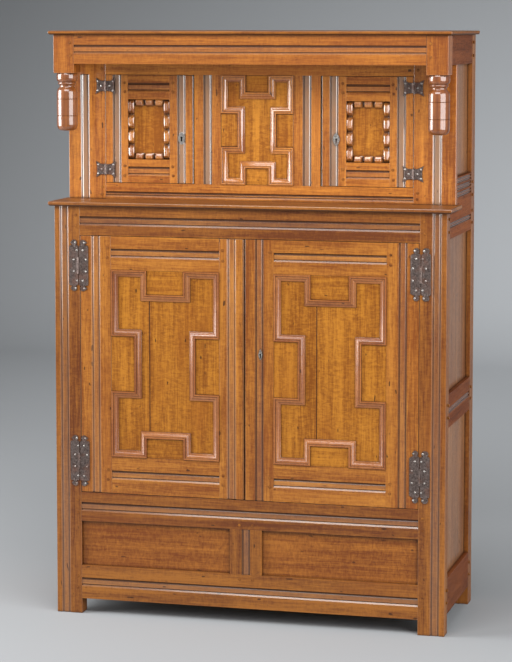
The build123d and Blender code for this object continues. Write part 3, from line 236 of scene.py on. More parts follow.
OAK_FINISHES = {  # wood, roughness of the wax, weight of the wax, and what differs from the rule
    "frame oak": ("frame", 0.20, 0.25, {"shine": 0.5}),
    "carcass oak": ("carcass", 0.16, 0.2, {"shine": 0.6}),
    "top oak": ("carcass", 0.34, 0.04, {}),
    "shelf oak": ("carcass", 0.24, 0.28, {}),
    "side oak": ("side", 0.20, 0.3, {}),
    "side rail oak": ("side_rail", 0.20, 0.04, {"shine": 0.6, "skin": 0.02}),
    "upper oak": ("upper", 0.13, 0.4, {"dusty": 0.75}),
    "upper rail oak": ("upper", 0.18, 0.3, {"shine": 0.5}),
    "frieze oak": ("frieze", 0.20, 0.35, {"shine": 0.5}),
    "low panel oak": ("low", 0.24, 0.2, {"figure": 1.6}),
    "panel oak": ("panel", 0.25, 0.15, {"figure": 1.7}),
    "upper panel oak": ("upper_panel", 0.25, 0.15, {"figure": 1.7}),
    "moulding oak": ("moulding", 0.27, 0.5, {}),
    "bay moulding oak": ("upper", 0.13, 1.0, {}),
    "turned oak": ("drop", 0.05, 0.8, {"figure": 0.6}),
    "tooth oak": ("upper", 0.10, 1.0, {}),
    "inside oak": ("inside", 0.60, 0.0, {"figure": 0.7}),
    "peg oak": ("carcass", 0.25, 0.1, {}),
}
IRON_FINISHES = {  # skin, high spots, roughness and brightness
    "black iron": ("black", "worn", 0.42, 0.0),
    "bright iron": ("worn", "steel", 0.34, 0.0),
    "lock iron": ("black", "steel", 0.52, -0.05),
    # the dark finish is painted shade: a near-black inlay standing for the inside of the keyhole
    "dark": ("hollow", "hollow", 0.9, -0.5),
}

BACKDROP_HEIGHT = 5.0
COVE = 2.0
LAMPS = (  # name, place, width, height, watts
    ("backdrop softbox", (0.0, 2.6, 3.6), 5.0, 0.8, 50),
    ("left softbox", (-3.35, -1.1, 1.7), 2.2, 2.4, 205),
    ("right softbox", (2.85, -1.9, 1.8), 3.2, 2.4, 150),
    ("overhead softbox", (0.0, -2.7, 3.8), 3.0, 1.8, 118),
)
LAMP_AIM = (0.0, 0.0, 0.95)
BACKDROP_AIM = (0.0, 9.0, 0.6)
AMBIENT = 0.14
AMBIENT_SEEN = 0.22  # added where a camera, glossy or transmission ray meets the world
SEEN_RAYS = (0, 3, 6)  # outputs of the Light Path node
CAMERA_PLACE = (1.7414, -6.6925, 1.7172)
CAMERA_TILT = 84.5  # degrees; 90 looks level
CAMERA_TURN = 14.82  # degrees to the left
CAMERA_LENS = 129.94  # millimetres
CAMERA_SHIFT = -0.12


# ---- settings ----
def colour(name, description, default):
    """A colour setting."""
    return FloatVectorProperty(name=name, description=description, subtype="COLOR", size=3, min=0, max=1,
                               default=default)


def size(name, description, default):
    """A length setting, in metres."""
    return FloatProperty(name=name, description=description, unit="LENGTH", default=default, min=0)


class CupboardWood(bpy.types.PropertyGroup):
    """Colours of the oak."""

    # Dark of the hollows: old wax and dust there, and also the colour of the painted shade in corners,
    # creases and grooves.
    hollow: colour("Hollows", "Old wax and dust in the corners", (0.030, 0.009, 0.003))


for kind, (label, where, *shades) in WOODS.items():
    for tone, default in zip(("light", "dark"), shades):
        what = f"{'Bright' if tone == 'light' else 'Dark'} grain of the {where}"
        CupboardWood.__annotations__[f"{kind}_{tone}"] = colour(f"{label}, {tone}", what, default)


class CupboardIron(bpy.types.PropertyGroup):
    """Colours of the ironwork."""

    black: colour("Blackened iron", "Forged skin of the hinges", (0.045, 0.028, 0.023))
    worn: colour("Worn iron", "High spots rubbed bright", (0.24, 0.185, 0.165))
    # The colour of the painted shade inside the keyhole.
    hollow: colour("Keyhole", "Dark inside a keyhole", (0.004, 0.002, 0.001))
    steel: colour("Bright plate", "Keyhole plates", (0.55, 0.54, 0.50))


class CupboardSizes(bpy.types.PropertyGroup):
    """Sizes of the small pieces and of the room."""

    softness: size("Edge softness", "Width of the rubbed edges of the boards", 0.0015)
    peg_width: size("Peg", "Width of an oak peg", 0.0085)
    peg_stand: size("Peg proud", "How far a peg stands out", 0.0006)
    pendant_block: size("Pendant block", "Side of the block over a drop", 0.0615)
    pendant_height: size("Pendant block height", "Height of the block over a drop", 0.110)
    nail_radius: size("Nail", "Radius of a hinge nail's head", 0.0028)
    floor_size: size("Floor", "Length of a side of the floor", 14.0)
    wheel_steps: IntProperty(name="Turning steps", description="Faces round a turned drop", default=64,
                             min=12)


# ---- selecting and modelling ----
def start_clean():
    """Back to object mode with nothing selected."""
    if bpy.context.object and bpy.context.object.mode != "OBJECT":
        bpy.ops.object.mode_set(mode="OBJECT")
    bpy.ops.object.select_all(action="DESELECT")


def pick(*pieces):
    """Select pieces alone; the first is active."""
    start_clean()
    for piece in pieces:
        piece.select_set(True)
    bpy.context.view_layer.objects.active = pieces[0]


@contextmanager
def editing(piece):
    """Edit mode on one piece, with all of its mesh deselected."""
    pick(piece)
    bpy.ops.object.mode_set(mode="EDIT")
    bpy.ops.mesh.select_mode(type="VERT")
    bpy.ops.mesh.select_all(action="DESELECT")
    yield
    bpy.ops.object.mode_set(mode="OBJECT")


def choose(kind, test):
    """Select the vertices, edges or faces that pass a test, in edit mode."""
    mesh = bpy.context.object.data
    bpy.ops.mesh.select_mode(type={"verts": "VERT", "edges": "EDGE", "faces": "FACE"}[kind])
    bpy.ops.mesh.select_all(action="DESELECT")
    edit = bmesh.from_edit_mesh(mesh)
    for part in getattr(edit, kind):
        if test(part):
            part.select = True
    edit.select_flush_mode()
    bmesh.update_edit_mesh(mesh)


def choose_all():
    """Select the whole mesh, in edit mode."""
    bpy.ops.mesh.select_all(action="SELECT")


def cut(place, way):
    """Cut the whole mesh through, square to a way and at a place along it."""
    choose_all()
    bpy.ops.mesh.bisect(plane_co=[place * part for part in way], plane_no=way)


def turn_faces_out():
    """Make every face look outward."""
    choose_all()
    bpy.ops.mesh.normals_make_consistent(inside=False)


def move(*way):
    """Move what is selected."""
    bpy.ops.transform.translate(value=way)


def extrude(*way):
    """Draw out what is selected."""
    bpy.ops.mesh.extrude_region_move(TRANSFORM_OT_translate={"value": way})


def settle(piece):
    """Put a piece's place into its mesh."""
    pick(piece)
    bpy.ops.object.transform_apply(location=True, rotation=True, scale=True)
    return piece


def block(name, low, high):
    """A squared block between two corners."""
    start_clean()
    middle = [(a + b) / 2 for a, b in zip(low, high)]
    spans = [b - a for a, b in zip(low, high)]
    bpy.ops.mesh.primitive_cube_add(size=1, location=middle, scale=spans)
    bpy.context.object.name = name
    return settle(bpy.context.object)


def copy_of(piece, name):
    """A copy of a piece with a mesh of its own."""
    twin = bpy.data.objects.new(name, piece.data.copy())
    bpy.context.scene.collection.objects.link(twin)
    return twin


def placed(stock, place, *turns):
    """A copy of a pattern, turned and then moved; each turn is an angle, an axis and a centre."""
    piece = copy_of(stock, stock.name)
    pick(piece)
    for angle, axis, centre in turns:
        bpy.ops.transform.rotate(value=angle, orient_axis=axis, center_override=centre)
    move(*place)
    return settle(piece)


def joined(name, pieces):
    """Several pieces as one."""
    pick(*pieces)
    if len(pieces) > 1:
        bpy.ops.object.join()
    whole = bpy.context.object
    whole.name = name
    whole.data.name = name
    return whole


def remove(*pieces):
    """Throw away pieces that were only patterns."""
    for piece in pieces:
        bpy.data.objects.remove(piece, do_unlink=True)


def smooth(piece, degrees=40, flat_faces=True):
    """Smooth shading up to an angle; large flat faces keep their flatness."""
    pick(piece)
    bpy.ops.object.shade_smooth_by_angle(angle=math.radians(degrees))
    if flat_faces:
        weigh = piece.modifiers.new("flat faces", "WEIGHTED_NORMAL")
        weigh.keep_sharp = True
        weigh.weight = 100
        bpy.ops.object.modifier_apply(modifier=weigh.name)


def soften(piece, width):
    """Rub the arrises down, and note where: 1 on a worn outer edge, -1 in an inner corner, where shade is
    painted.
    """
    while len(piece.data.materials) < 2:
        piece.data.materials.append(None)
    pick(piece)
    bevel = piece.modifiers.new("rubbed edges", "BEVEL")
    bevel.width = width
    bevel.segments = 2
    bevel.limit_method = "ANGLE"
    bevel.angle_limit = math.radians(32)
    bevel.material = 1
    bevel.miter_outer = "MITER_ARC"
    bpy.ops.object.modifier_apply(modifier=bevel.name)
    mesh = piece.data
    rubbed = {}
    for face in mesh.polygons:
        for corner in face.vertices:
            rubbed[corner] = rubbed.get(corner, True) and face.material_index == 1
    near = {}
    for a, b in (edge.vertices for edge in mesh.edges):
        near.setdefault(a, []).append(b)
        near.setdefault(b, []).append(a)
    wear = mesh.attributes.new("wear", "FLOAT", "POINT")
    for vertex in mesh.vertices:
        around = near.get(vertex.index)
        if rubbed.get(vertex.index) and around:
            middle = sum((mesh.vertices[k].co for k in around), Vector()) / len(around)
            wear.data[vertex.index].value = 1.0 if (middle - vertex.co).dot(vertex.normal) < 0 else -1.0
    for face in mesh.polygons:
        face.material_index = 0
    mesh.materials.clear()


def islands(mesh):
    """Vertex numbers of each separate board in a mesh."""
    parent = list(range(len(mesh.vertices)))

    def root(k):
        while parent[k] != k:
            parent[k] = parent[parent[k]]
            k = parent[k]
        return k

    for edge in mesh.edges:
        a, b = root(edge.vertices[0]), root(edge.vertices[1])
        if a != b:
            parent[a] = b
    groups = {}
    for k in range(len(parent)):
        groups.setdefault(root(k), []).append(k)
    return list(groups.values())


def extent(points):
    """Lowest and highest corner of some points."""
    return [min(p[a] for p in points) for a in range(3)], [max(p[a] for p in points) for a in range(3)]


def strip_run(mesh, face):
    """The axis that a strip runs along at one of its faces: 0 across, 2 up."""
    ways = [mesh.vertices[a].co - mesh.vertices[b].co for a, b in face.edge_keys]
    way = max(ways, key=lambda way: way.length)
    return 0 if abs(way.x) > abs(way.z) else 2


def beside(points, place, reach):
    """Whether all the points lie near a place along X."""
    return all(abs(p.x - place) < reach + 0.0002 for p in points)


def lay_grain(piece, run=None, splits=(), by_strip=False, channelled=False, notched=False, meeting=None,
              shades=()):
    """Give every board its own place in the log and its own tone; the grain follows its length.

    splits are places along X where a board is glued up, with dirt in the open joint; by_strip makes
    the grain follow each strip of a mitred moulding, with painted shade in its quirk and foot;
    channelled marks the sunk channels of a board, where dust lies and a grey sheen is painted, with
    dirt and painted shade in their depths; notched paints shade on the deep ends of teeth, meeting
    paints shade along the edge of a door, and shades are the upper grooves of the channels, where
    shade is painted as on faces that look down.
    """
    mesh = piece.data
    board_of = {}
    boxes = []
    for number, members in enumerate(islands(mesh)):
        boxes.append(extent([mesh.vertices[k].co for k in members]))
        board_of.update((k, number) for k in members)
    for name in ("wood", "tone", "dust", "dirt"):
        mesh.attributes.new(name, "FLOAT_VECTOR" if name == "wood" else "FLOAT", "CORNER")
    wood, tone, dust, dirt = (mesh.attributes[name] for name in ("wood", "tone", "dust", "dirt"))
    kinds = {}
    for face in mesh.polygons:
        points = [mesh.vertices[k].co for k in face.vertices]
        number = board_of[face.vertices[0]]
        low, high = boxes[number]
        along = strip_run(mesh, face) if by_strip else run
        glued = high[0] - low[0] > GLUED_WIDTH
        kind = (number, along, sum(face.center.x > split for split in splits) if glued else 0)
        if kind not in kinds:
            order = sorted(range(3), key=lambda a: low[a] - high[a])
            if along is not None:
                order.remove(along)
                order.insert(0, along)
            dice = random.Random(f"{piece.name} {low[0]:.3f} {low[2]:.3f} {along} {kind[2]}")
            kinds[kind] = (order, Vector([dice.uniform(-40, 40) for _ in range(3)]), dice.uniform(-1, 1))
        order, shift, shade = kinds[kind]
        sunk = sunk_by(face.normal, face.center, low, high) if channelled else 0.0
        in_channel = CHANNEL_DEPTHS[0] < sunk < CHANNEL_DEPTHS[1] and not splits
        # Painted shade on faces that look down and in the upper grooves, where light from above does not
        # reach.
        shaded = face.normal.z < -0.25 or any(foot < face.center.z < head for foot, head in shades)
        # Painted shade along a door's meeting edge, beside the gap between the doors.
        at_gap = meeting is not None and beside(points, meeting, MEETING_ROUND)
        in_joint = any(beside(points, split, JOINT_WIDTH / 2) for split in splits)
        for corner, co in zip(face.loop_indices, points):
            wood.data[corner].vector = Vector([co[a] for a in order]) + shift
            tone.data[corner].value = shade
            dust.data[corner].value = float(in_channel and not shaded)
            dirt_and_shade_level = JOINT_DIRT * (in_joint and co.y > low[1] + 0.0005) + PAINTED_LINE_SHADE * at_gap
            # Painted shade in the quirk and along the foot of a moulding.
            if by_strip:
                up = high[1] - BURIED - co.y
                dirt_and_shade_level = PAINTED_LINE_SHADE * (QUIRK[0] < up < QUIRK[1] or up < MOULDING_FOOT)
            # Dirt and painted shade, darker the deeper a face lies in its channel.
            elif in_channel:
                deep = sunk_by(face.normal, co, low, high) - HOLLOW_DEPTH
                deep = deep / (CHANNEL_DEPTHS[1] - HOLLOW_DEPTH)
                dirt_and_shade_level = PAINTED_LINE_SHADE if shaded else min(1.0, max(0.0, deep))
            # Painted shade on the sides and ends of a tooth, darker towards the back.
            elif notched and face.normal.y > -FACING:
                dirt_and_shade_level = PAINTED_TOOTH_SHADE * max(0.0, (co.y - low[1]) / (high[1] - low[1]) - 0.15)
            dirt.data[corner].value = dirt_and_shade_level


def sunk_by(normal, place, low, high):
    """How far a place lies behind the front, or the outer side, of its board."""
    if normal.y < -0.3:
        return place.y - low[1]
    if normal.x > 0.3:
        return high[0] - place.x
    if normal.x < -0.3:
        return place.x - low[0]
    return 0.0


def bare_copy(node, ending):
    """A copy of a CAD node, with no finish."""
    piece = copy_of(frame["nodes"][node], node + ending)
    piece.data.materials.clear()
    return piece


def weld():
    """Merge the loose triangles of a CAD mesh to clean faces, in edit mode."""
    choose_all()
    bpy.ops.mesh.remove_doubles(threshold=WELD)
    bpy.ops.mesh.dissolve_limited(angle_limit=math.radians(0.4))


def front_line(piece, place):
    """A test for what lies on the front of a piece, at a place along X."""
    front = min(vertex.co.y for vertex in piece.data.vertices)
    return lambda vertices: all(abs(v.co.x - place) < NEAR and v.co.y < front + NEAR for v in vertices)


def board_copy(node, width, run=None, splits=(), meeting=None):
    """The boards of a CAD node as one piece with rubbed edges and their own grain.

    meeting is the place along X of a door's meeting edge, which is rounded over.
    """
    piece = bare_copy(node, "_worn")
    with editing(piece):
        weld()
    for split in splits:
        open_joint(piece, split)
    if meeting is not None:
        on_edge = front_line(piece, meeting)
        with editing(piece):
            choose("edges", lambda e: on_edge(e.verts))
            bpy.ops.mesh.bevel(offset=MEETING_ROUND, segments=4, affect="EDGES")
    shades = lie_back_grooves(piece) if "rail" in node and not node.startswith("side") else ()
    field = node.replace("panel", "moulding")
    if field in MOULDED_FIELDS:
        piece = joined(piece.name, [piece, *raised_blocks(field)])
    soften(piece, width)
    lay_grain(piece, run, splits, channelled=True, meeting=meeting, shades=shades)
    smooth(piece)
    return piece


def lie_back_grooves(piece):
    """Lay the lower side of each run of channel back to a slope; gives the heights of the upper grooves,
    where shade is painted.
    """
    mesh = piece.data
    grooves = set()
    for face in mesh.polygons:
        low, high = extent([mesh.vertices[k].co for k in face.vertices])
        as_floor = abs(high[2] - low[2] - GROOVE_FLOOR) < 0.0003
        if face.normal.y < -FACING and as_floor and high[0] - low[0] > GROOVE_LENGTH:
            grooves.add((round(low[2], 5), round(high[2], 5), round(face.center.y, 5)))
    grooves = sorted(grooves)
    with editing(piece):
        for foot, _, deep in grooves[0::2]:
            choose("verts", lambda v: abs(v.co.z - foot) < 2 * NEAR and abs(v.co.y - deep) < 2 * NEAR)
            move(0, 0, GROOVE_SLOPE)
    return [(foot - GROOVE_SIDE, head + GROOVE_SIDE) for foot, head, _ in grooves[1::2]]


def field_lines(low, high, wide, top, bottom, side, side_height):
    """Where the sides of a field's blocks lie: four places across and four up."""
    across, up = high[0] - low[0], high[2] - low[2]
    x, z = (low[0] + high[0]) / 2, (low[2] + high[2]) / 2
    return ((low[0] + side * across, x - wide * across / 2, x + wide * across / 2, high[0] - side * across),
            (low[2] + bottom * up, z - side_height * up / 2, z + side_height * up / 2, high[2] - top * up))


def raised_blocks(field):
    """The four raised blocks that a notched moulding runs round."""
    low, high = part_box(field)
    (left, x0, x1, right), (foot, z0, z1, head) = field_lines(low, high, *MOULDED_FIELDS[field])
    blocks = []
    for a, b, c, d in ((x0, x1, head, high[2]), (x0, x1, low[2], foot),
                       (low[0], left, z0, z1), (right, high[0], z0, z1)):
        corner = (a + BLOCK_GAP, high[1] - BLOCK_STAND, c + BLOCK_GAP)
        blocks.append(block("block", corner, (b - BLOCK_GAP, high[1] + BURIED, d - BLOCK_GAP)))
    return blocks


def open_joint(piece, place):
    """The fine open line where two boards of a panel are glued edge to edge."""
    on_joint = front_line(piece, place)
    with editing(piece):
        cut(place, (1, 0, 0))
        choose("edges", lambda e: on_joint(e.verts))
        bpy.ops.mesh.bevel(offset=JOINT_WIDTH / 2, segments=2, affect="EDGES")
        choose("verts", lambda v: on_joint([v]))
        move(0, JOINT_DEPTH, 0)


def dress(piece, finish, body, slot, *nodes):
    """Finish a piece, hang it on its body and let it stand for its nodes."""
    piece.data.materials.clear()
    piece.data.materials.append(finish_named(finish))
    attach(piece, body)
    if nodes:
        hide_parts(*nodes)


# ---- shader building ----
class Amount:
    """A shader socket that can be used in sums."""

    def __init__(self, finish, socket):
        self.finish = finish
        self.socket = socket

    def sum_with(self, operation, other, swap=False, clamp=False):
        values = (other, self) if swap else (self, other)
        settings = {"operation": operation, "use_clamp": clamp}
        return self.finish.node("ShaderNodeMath", settings, {0: values[0], 1: values[1]})

    __add__ = partialmethod(sum_with, "ADD")
    __radd__ = partialmethod(sum_with, "ADD", swap=True)
    __sub__ = partialmethod(sum_with, "SUBTRACT")
    __rsub__ = partialmethod(sum_with, "SUBTRACT", swap=True)
    __mul__ = partialmethod(sum_with, "MULTIPLY")
    __rmul__ = partialmethod(sum_with, "MULTIPLY", swap=True)
    above = partialmethod(sum_with, "MAXIMUM")

    def clamped(self):
        return self.sum_with("ADD", 0.0, clamp=True)


class Finish:
    """The nodes of a material, or of the world."""

    def __init__(self, owner):
        owner.use_nodes = True
        self.owner = owner
        self.tree = owner.node_tree
        self.tree.nodes.clear()

    def node(self, kind, settings=None, sockets=None, out=0):
        """Add a node: its settings first, then the values or links of its sockets."""
        made = self.tree.nodes.new(kind)
        for key, value in (settings or {}).items():
            if key == "stops":
                ramp = made.color_ramp
                while len(ramp.elements) < len(value):
                    ramp.elements.new(1.0)
                for element, (place, shade) in zip(ramp.elements, value):
                    element.position = place
                    element.color = (shade, shade, shade, 1.0)
            else:
                setattr(made, key, value)
        for key, value in (sockets or {}).items():
            if isinstance(value, Amount):
                self.tree.links.new(value.socket, made.inputs[key])
            else:
                made.inputs[key].default_value = value
        return Amount(self, made.outputs[out]) if made.outputs else made

    def attribute(self, name, vector=False):
        return self.node("ShaderNodeAttribute", {"attribute_name": name}, out=1 if vector else 2)

    def noise(self, place, scale, detail=2.0, roughness=0.5, distortion=0.0):
        """Cloud pattern of about 0 to 1, stretched by a scale for each direction."""
        stretched = self.node("ShaderNodeMapping", None, {0: place, 3: scale})
        sockets = {"Vector": stretched, "Scale": 1.0, "Detail": detail,
                   "Roughness": roughness, "Distortion": distortion}
        return self.node("ShaderNodeTexNoise", None, sockets)

    def ramp(self, amount, *stops):
        return self.node("ShaderNodeValToRGB", {"stops": stops}, {0: amount})

    def mix(self, factor, *shades):
        """Mix of two colours, each a socket or its red, green and blue."""
        first, second = (shade if isinstance(shade, Amount) else (*shade, 1.0) for shade in shades)
        settings = {"data_type": "RGBA", "clamp_factor": True}
        return self.node("ShaderNodeMix", settings, {0: factor, 6: first, 7: second}, out=2)

    def finish(self, colour, roughness, height, depth, **fixed):
        """Shader and output: what varies goes to colour, roughness, relief, metal and coat weight."""
        relief = self.node("ShaderNodeBump", None, {"Height": height, "Distance": depth, "Strength": 1.0})
        sockets = {"Base Color": colour, "Roughness": roughness, "Normal": relief}
        metal = fixed.pop("metal", None)
        if metal is not None:
            sockets["Metallic"] = metal
        sockets.update({key.replace("_", " "): value for key, value in fixed.items()})
        shader = self.node("ShaderNodeBsdfPrincipled", None, sockets)
        self.node("ShaderNodeOutputMaterial", None, {"Surface": shader})
        return self.owner


def oak(name, light, dark, hollow, gloss, coat, figure=1.0, dusty=0.10, shine=1.0, skin=0.15):
    """Waxed oak: grain, flecks, patches, grime and painted shade in the corners, and rubbed edges.

    gloss is the roughness of the wax; coat is the wax on the flats and shine that in the channels
    and on rubbed edges; dusty greys the channels, as dust and as a painted sheen; skin
    is the gloss of the bare wood. The scales of the noises are ripples in a metre, along the grain and
    across it.
    """
    made = Finish(bpy.data.materials.new(name))
    wood = made.attribute("wood", vector=True)
    tone = made.attribute("tone")
    wear = made.attribute("wear")
    streak = made.noise(wood, (1.1, 48, 48), 5.0, 0.62, 0.6)
    fine = made.noise(wood, (14, 230, 230), 3.0, 0.65)
    pores = made.ramp(made.noise(wood, (48, 1100, 1100), 1.0, 0.5), (0.30, 1.0), (0.46, 0.0))
    ripple = made.noise(wood, (150, 55, 55), 3.0, 0.6, 0.8)
    patch = made.noise(wood, (3.0, 7.5, 7.5), 3.0, 0.55)
    marks = made.ramp(made.noise(wood, (42, 110, 110), 0.0), (0.155, 1.0), (0.19, 0.0))
    level = 0.53 + 1.9 * (streak - 0.5) + 1.5 * (fine - 0.5) + figure * 0.95 * (ripple - 0.5)
    level = level + 1.25 * (patch - 0.5) + 0.15 * tone - 0.32 * pores
    colour = made.mix(level.clamped(), dark, light)
    red = made.ramp(made.noise(wood, (2.4, 9, 9), 2.0), (0.50, 0.0), (0.78, 0.55))
    colour = made.mix(red, colour, [light[0] * 0.56, light[1] * 0.40, light[2] * 0.40])
    # The channels are greyed: dust lies there, and the grey is also a painted sheen of the lamps' reflection.
    dust = made.attribute("dust")
    grey = dust * dusty * (0.5 + made.noise(wood, (14, 40, 40), 2.0))
    colour = made.mix(grey.clamped(), colour, (0.25, 0.155, 0.095))
    colour = made.mix(marks * 0.8, colour, hollow)
    rubbed = made.noise(wood, (9, 30, 30), 2.0)
    edge = (wear.clamped() * (0.10 + 0.8 * rubbed)).clamped()
    colour = made.mix(edge, colour, [min(1.0, c * 1.15 + 0.07) for c in light])
    # Painted shade: ambient occlusion darkens corners, creases and recesses towards the hollow colour,
    # standing partly for old wax and dust there.
    open_air = made.node("ShaderNodeAmbientOcclusion", {"samples": 6, "only_local": False},
                         {"Distance": 0.010}, out=1)
    grime_and_shade = made.ramp(open_air, (0.38, 1.0), (0.90, 0.0)) * (0.80 + 0.6 * (patch - 0.5))
    colour = made.mix(grime_and_shade.clamped(), colour, hollow)
    # Painted shade in inner corners; dirt in the joints of panels, and painted shade in fine lines, channels
    # and between teeth.
    groove = ((0.0 - wear).clamped() * 0.85 + made.attribute("dirt") * 0.75).clamped()
    colour = made.mix(groove, colour, hollow)
    roughness = 0.46 + 0.20 * (patch - 0.45) + 0.10 * pores + 0.20 * grime_and_shade - 0.05 * edge
    sway = made.noise(wood, (5, 13, 13), 1.0)
    height = sway * 0.9 + 0.10 * streak - 0.08 * pores + 0.05 * fine
    return made.finish(colour, roughness.clamped(), height, 0.0010, Specular_IOR_Level=skin,
                       Coat_Weight=(coat + (shine - coat) * dust.above(wear)).clamped() if coat else 0.0,
                       Coat_Roughness=gloss, Coat_IOR=1.85)


def iron(name, black, worn, roughness, brightness):
    """Forged iron: hammer marks, scale, high spots rubbed bright, and painted shade in inner corners."""
    made = Finish(bpy.data.materials.new(name))
    place = made.node("ShaderNodeTexCoord", out=3)
    wear = made.attribute("wear")
    dents = made.noise(place, (210, 210, 210), 2.0, 0.55, 0.4)
    scale = made.noise(place, (700, 700, 700), 3.0, 0.6)
    cloud = made.noise(place, (40, 40, 40), 2.0)
    bright = (0.5 + 1.6 * (scale - 0.5) + 1.6 * (dents - 0.5) + 0.5 * wear.clamped() + brightness).clamped()
    colour = made.mix(bright, black, worn)
    rust = made.ramp(cloud, (0.50, 0.0), (0.70, 0.6))
    colour = made.mix(rust, colour, (0.10, 0.034, 0.016))
    # Painted shade in the inner corners of the iron.
    groove = ((0.0 - wear).clamped() * 0.8).clamped()
    colour = made.mix(groove, colour, (0.006, 0.004, 0.003))
    rough = roughness + 0.25 * (scale - 0.5) + 0.18 * rust - 0.10 * bright
    metal = 0.75 - 0.5 * rust
    height = dents * 0.8 + scale * 0.2
    return made.finish(colour, rough.clamped(), height, 0.0008, metal=metal)


finishes = {}


def finish_named(name):
    """The cupboard's finishes, each made once."""
    if name in OAK_FINISHES and name not in finishes:
        colours = bpy.context.scene.cupboard_wood
        wood, gloss, coat, rest = OAK_FINISHES[name]
        light, dark = getattr(colours, wood + "_light"), getattr(colours, wood + "_dark")
        finishes[name] = oak(name, light, dark, colours.hollow, gloss, coat, **rest)
    elif name not in finishes:
        colours = bpy.context.scene.cupboard_iron
        black, worn, *settings = IRON_FINISHES[name]
        finishes[name] = iron(name, getattr(colours, black), getattr(colours, worn), *settings)
    return finishes[name]


def body_of(node):
    """The body that a CAD node rides on."""
    return frame["nodes"][node]["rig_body"]


# ---- the pieces ----
class CUPBOARD_OT_frame_boards(bpy.types.Operator):
    """Posts, rails, muntins, shelf and cornice, with rubbed edges"""

    bl_idname = "cupboard.frame_boards"
    bl_label = "Frame boards"

    def execute(self, context):
        width = context.scene.cupboard_sizes.softness
        for finish, nodes in CARCASS_BOARDS.items():
            for node in nodes:
                slot = "oak_panel" if node.endswith(("panel", "panels")) else "oak"
                piece = board_copy(node, width)
                dress(piece, finish, "cabinet", slot, node)
                if node == "muntins":
                    piece.data.materials.append(finish_named("upper oak"))
                    for face in piece.data.polygons:
                        face.material_index = int(face.center.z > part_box("shelf_board")[1][2])
        return {"FINISHED"}


class CUPBOARD_OT_doors(bpy.types.Operator):
    """Stiles, rails and panels of the four doors"""

    bl_idname = "cupboard.doors"
    bl_label = "Doors"

    def execute(self, context):
        width = context.scene.cupboard_sizes.softness
        for door in DOORS:
            upper = door.startswith("upper")
            for part, finish, slot in (("stiles", "upper oak" if upper else "frame oak", "oak"),
                                       ("rails", "upper rail oak" if upper else "frame oak", "oak"),
                                       ("panel", "upper panel oak" if upper else "panel oak", "oak_panel")):
                node = f"{door}_{part}"
                low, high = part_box(node)
                meeting = (high[0] if "left" in door else low[0]) if part == "stiles" else None
                piece = board_copy(node, width, None, PANEL_JOINTS.get(node, ()), meeting)
                dress(piece, finish, door, slot, node)
        return {"FINISHED"}


def notched_field(name, low, high, shares):
    """A flat field with a block left out of the middle of each edge; blocks as shares."""
    start_clean()
    middle = Vector(((low[0] + high[0]) / 2, high[1], (low[2] + high[2]) / 2))
    bpy.ops.mesh.primitive_plane_add(size=1, location=middle, rotation=(math.pi / 2, 0, 0))
    field = bpy.context.object
    field.name = name
    settle(field)
    across, up = field_lines(low, high, *shares)
    with editing(field):
        choose_all()
        bpy.ops.transform.resize(value=(high[0] - low[0], 1, high[2] - low[2]), center_override=middle)
        for places, way in ((across, (1, 0, 0)), (up, (0, 0, 1))):
            for place in places:
                cut(place, way)

        def in_block(face):
            x, _, z = face.calc_center_median()
            in_end = across[1] < x < across[2] and not up[0] < z < up[3]
            in_side = up[1] < z < up[2] and not across[0] < x < across[3]
            return in_end or in_side

        choose("faces", in_block)
        bpy.ops.mesh.delete(type="FACE")
        choose_all()
        bpy.ops.mesh.dissolve_faces()
        bpy.ops.mesh.dissolve_limited(angle_limit=math.radians(1))
    return field


def mitred_moulding(node, shares):
    """The applied moulding round a notched field: walls extruded, then inset step by step.

    The plate that joins its strips lies buried in the panel.
    """
    low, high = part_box(node)
    ring = notched_field(node + "_worn", low, (high[0], high[1] + BURIED, high[2]), shares)
    with editing(ring):
        choose("faces", lambda f: f.normal.y > 0)
        bpy.ops.mesh.flip_normals()
        choose("faces", lambda f: True)
        height = STRIP_STEPS[0][1] + BURIED
        extrude(0, -height, 0)
        for (a, up), (b, next_up) in zip(STRIP_STEPS, STRIP_STEPS[1:]):
            bpy.ops.mesh.inset(thickness=b - a, depth=next_up - up, use_even_offset=True)
        choose("edges", lambda e: e.is_boundary)
        bpy.ops.mesh.edge_face_add()
        turn_faces_out()
    lay_grain(ring, by_strip=True)
    smooth(ring, 50)
    return ring


def tooth(name, low, high):
    """One tooth of a notched border: a short piece of a reeded strip, its ends cut back in front."""
    piece = block(name, low, high)
    back = (high[2] - low[2]) * TOOTH_CUT
    middle = (low[2] + high[2]) / 2
    with editing(piece):
        for way in (-1, 1):
            choose("verts", lambda v: v.co.y < low[1] + NEAR and (v.co.z - middle) * way > 0)
            move(0, 0, -way * back)
        for across, _ in TOOTH_STEPS[1:-1]:
            cut(low[0] + across, (1, 0, 0))
        for across, deep in TOOTH_STEPS:
            choose("verts", lambda v: abs(v.co.x - low[0] - across) < NEAR and v.co.y < low[1] + NEAR)
            move(0, deep, 0)
        choose("edges", lambda e: e.calc_face_angle(0) > math.radians(50)
               and min(v.co.y for v in e.verts) < high[1] - 0.001)
        bpy.ops.mesh.bevel(offset=TOOTH_ARRIS, segments=1, affect="EDGES")
    return piece


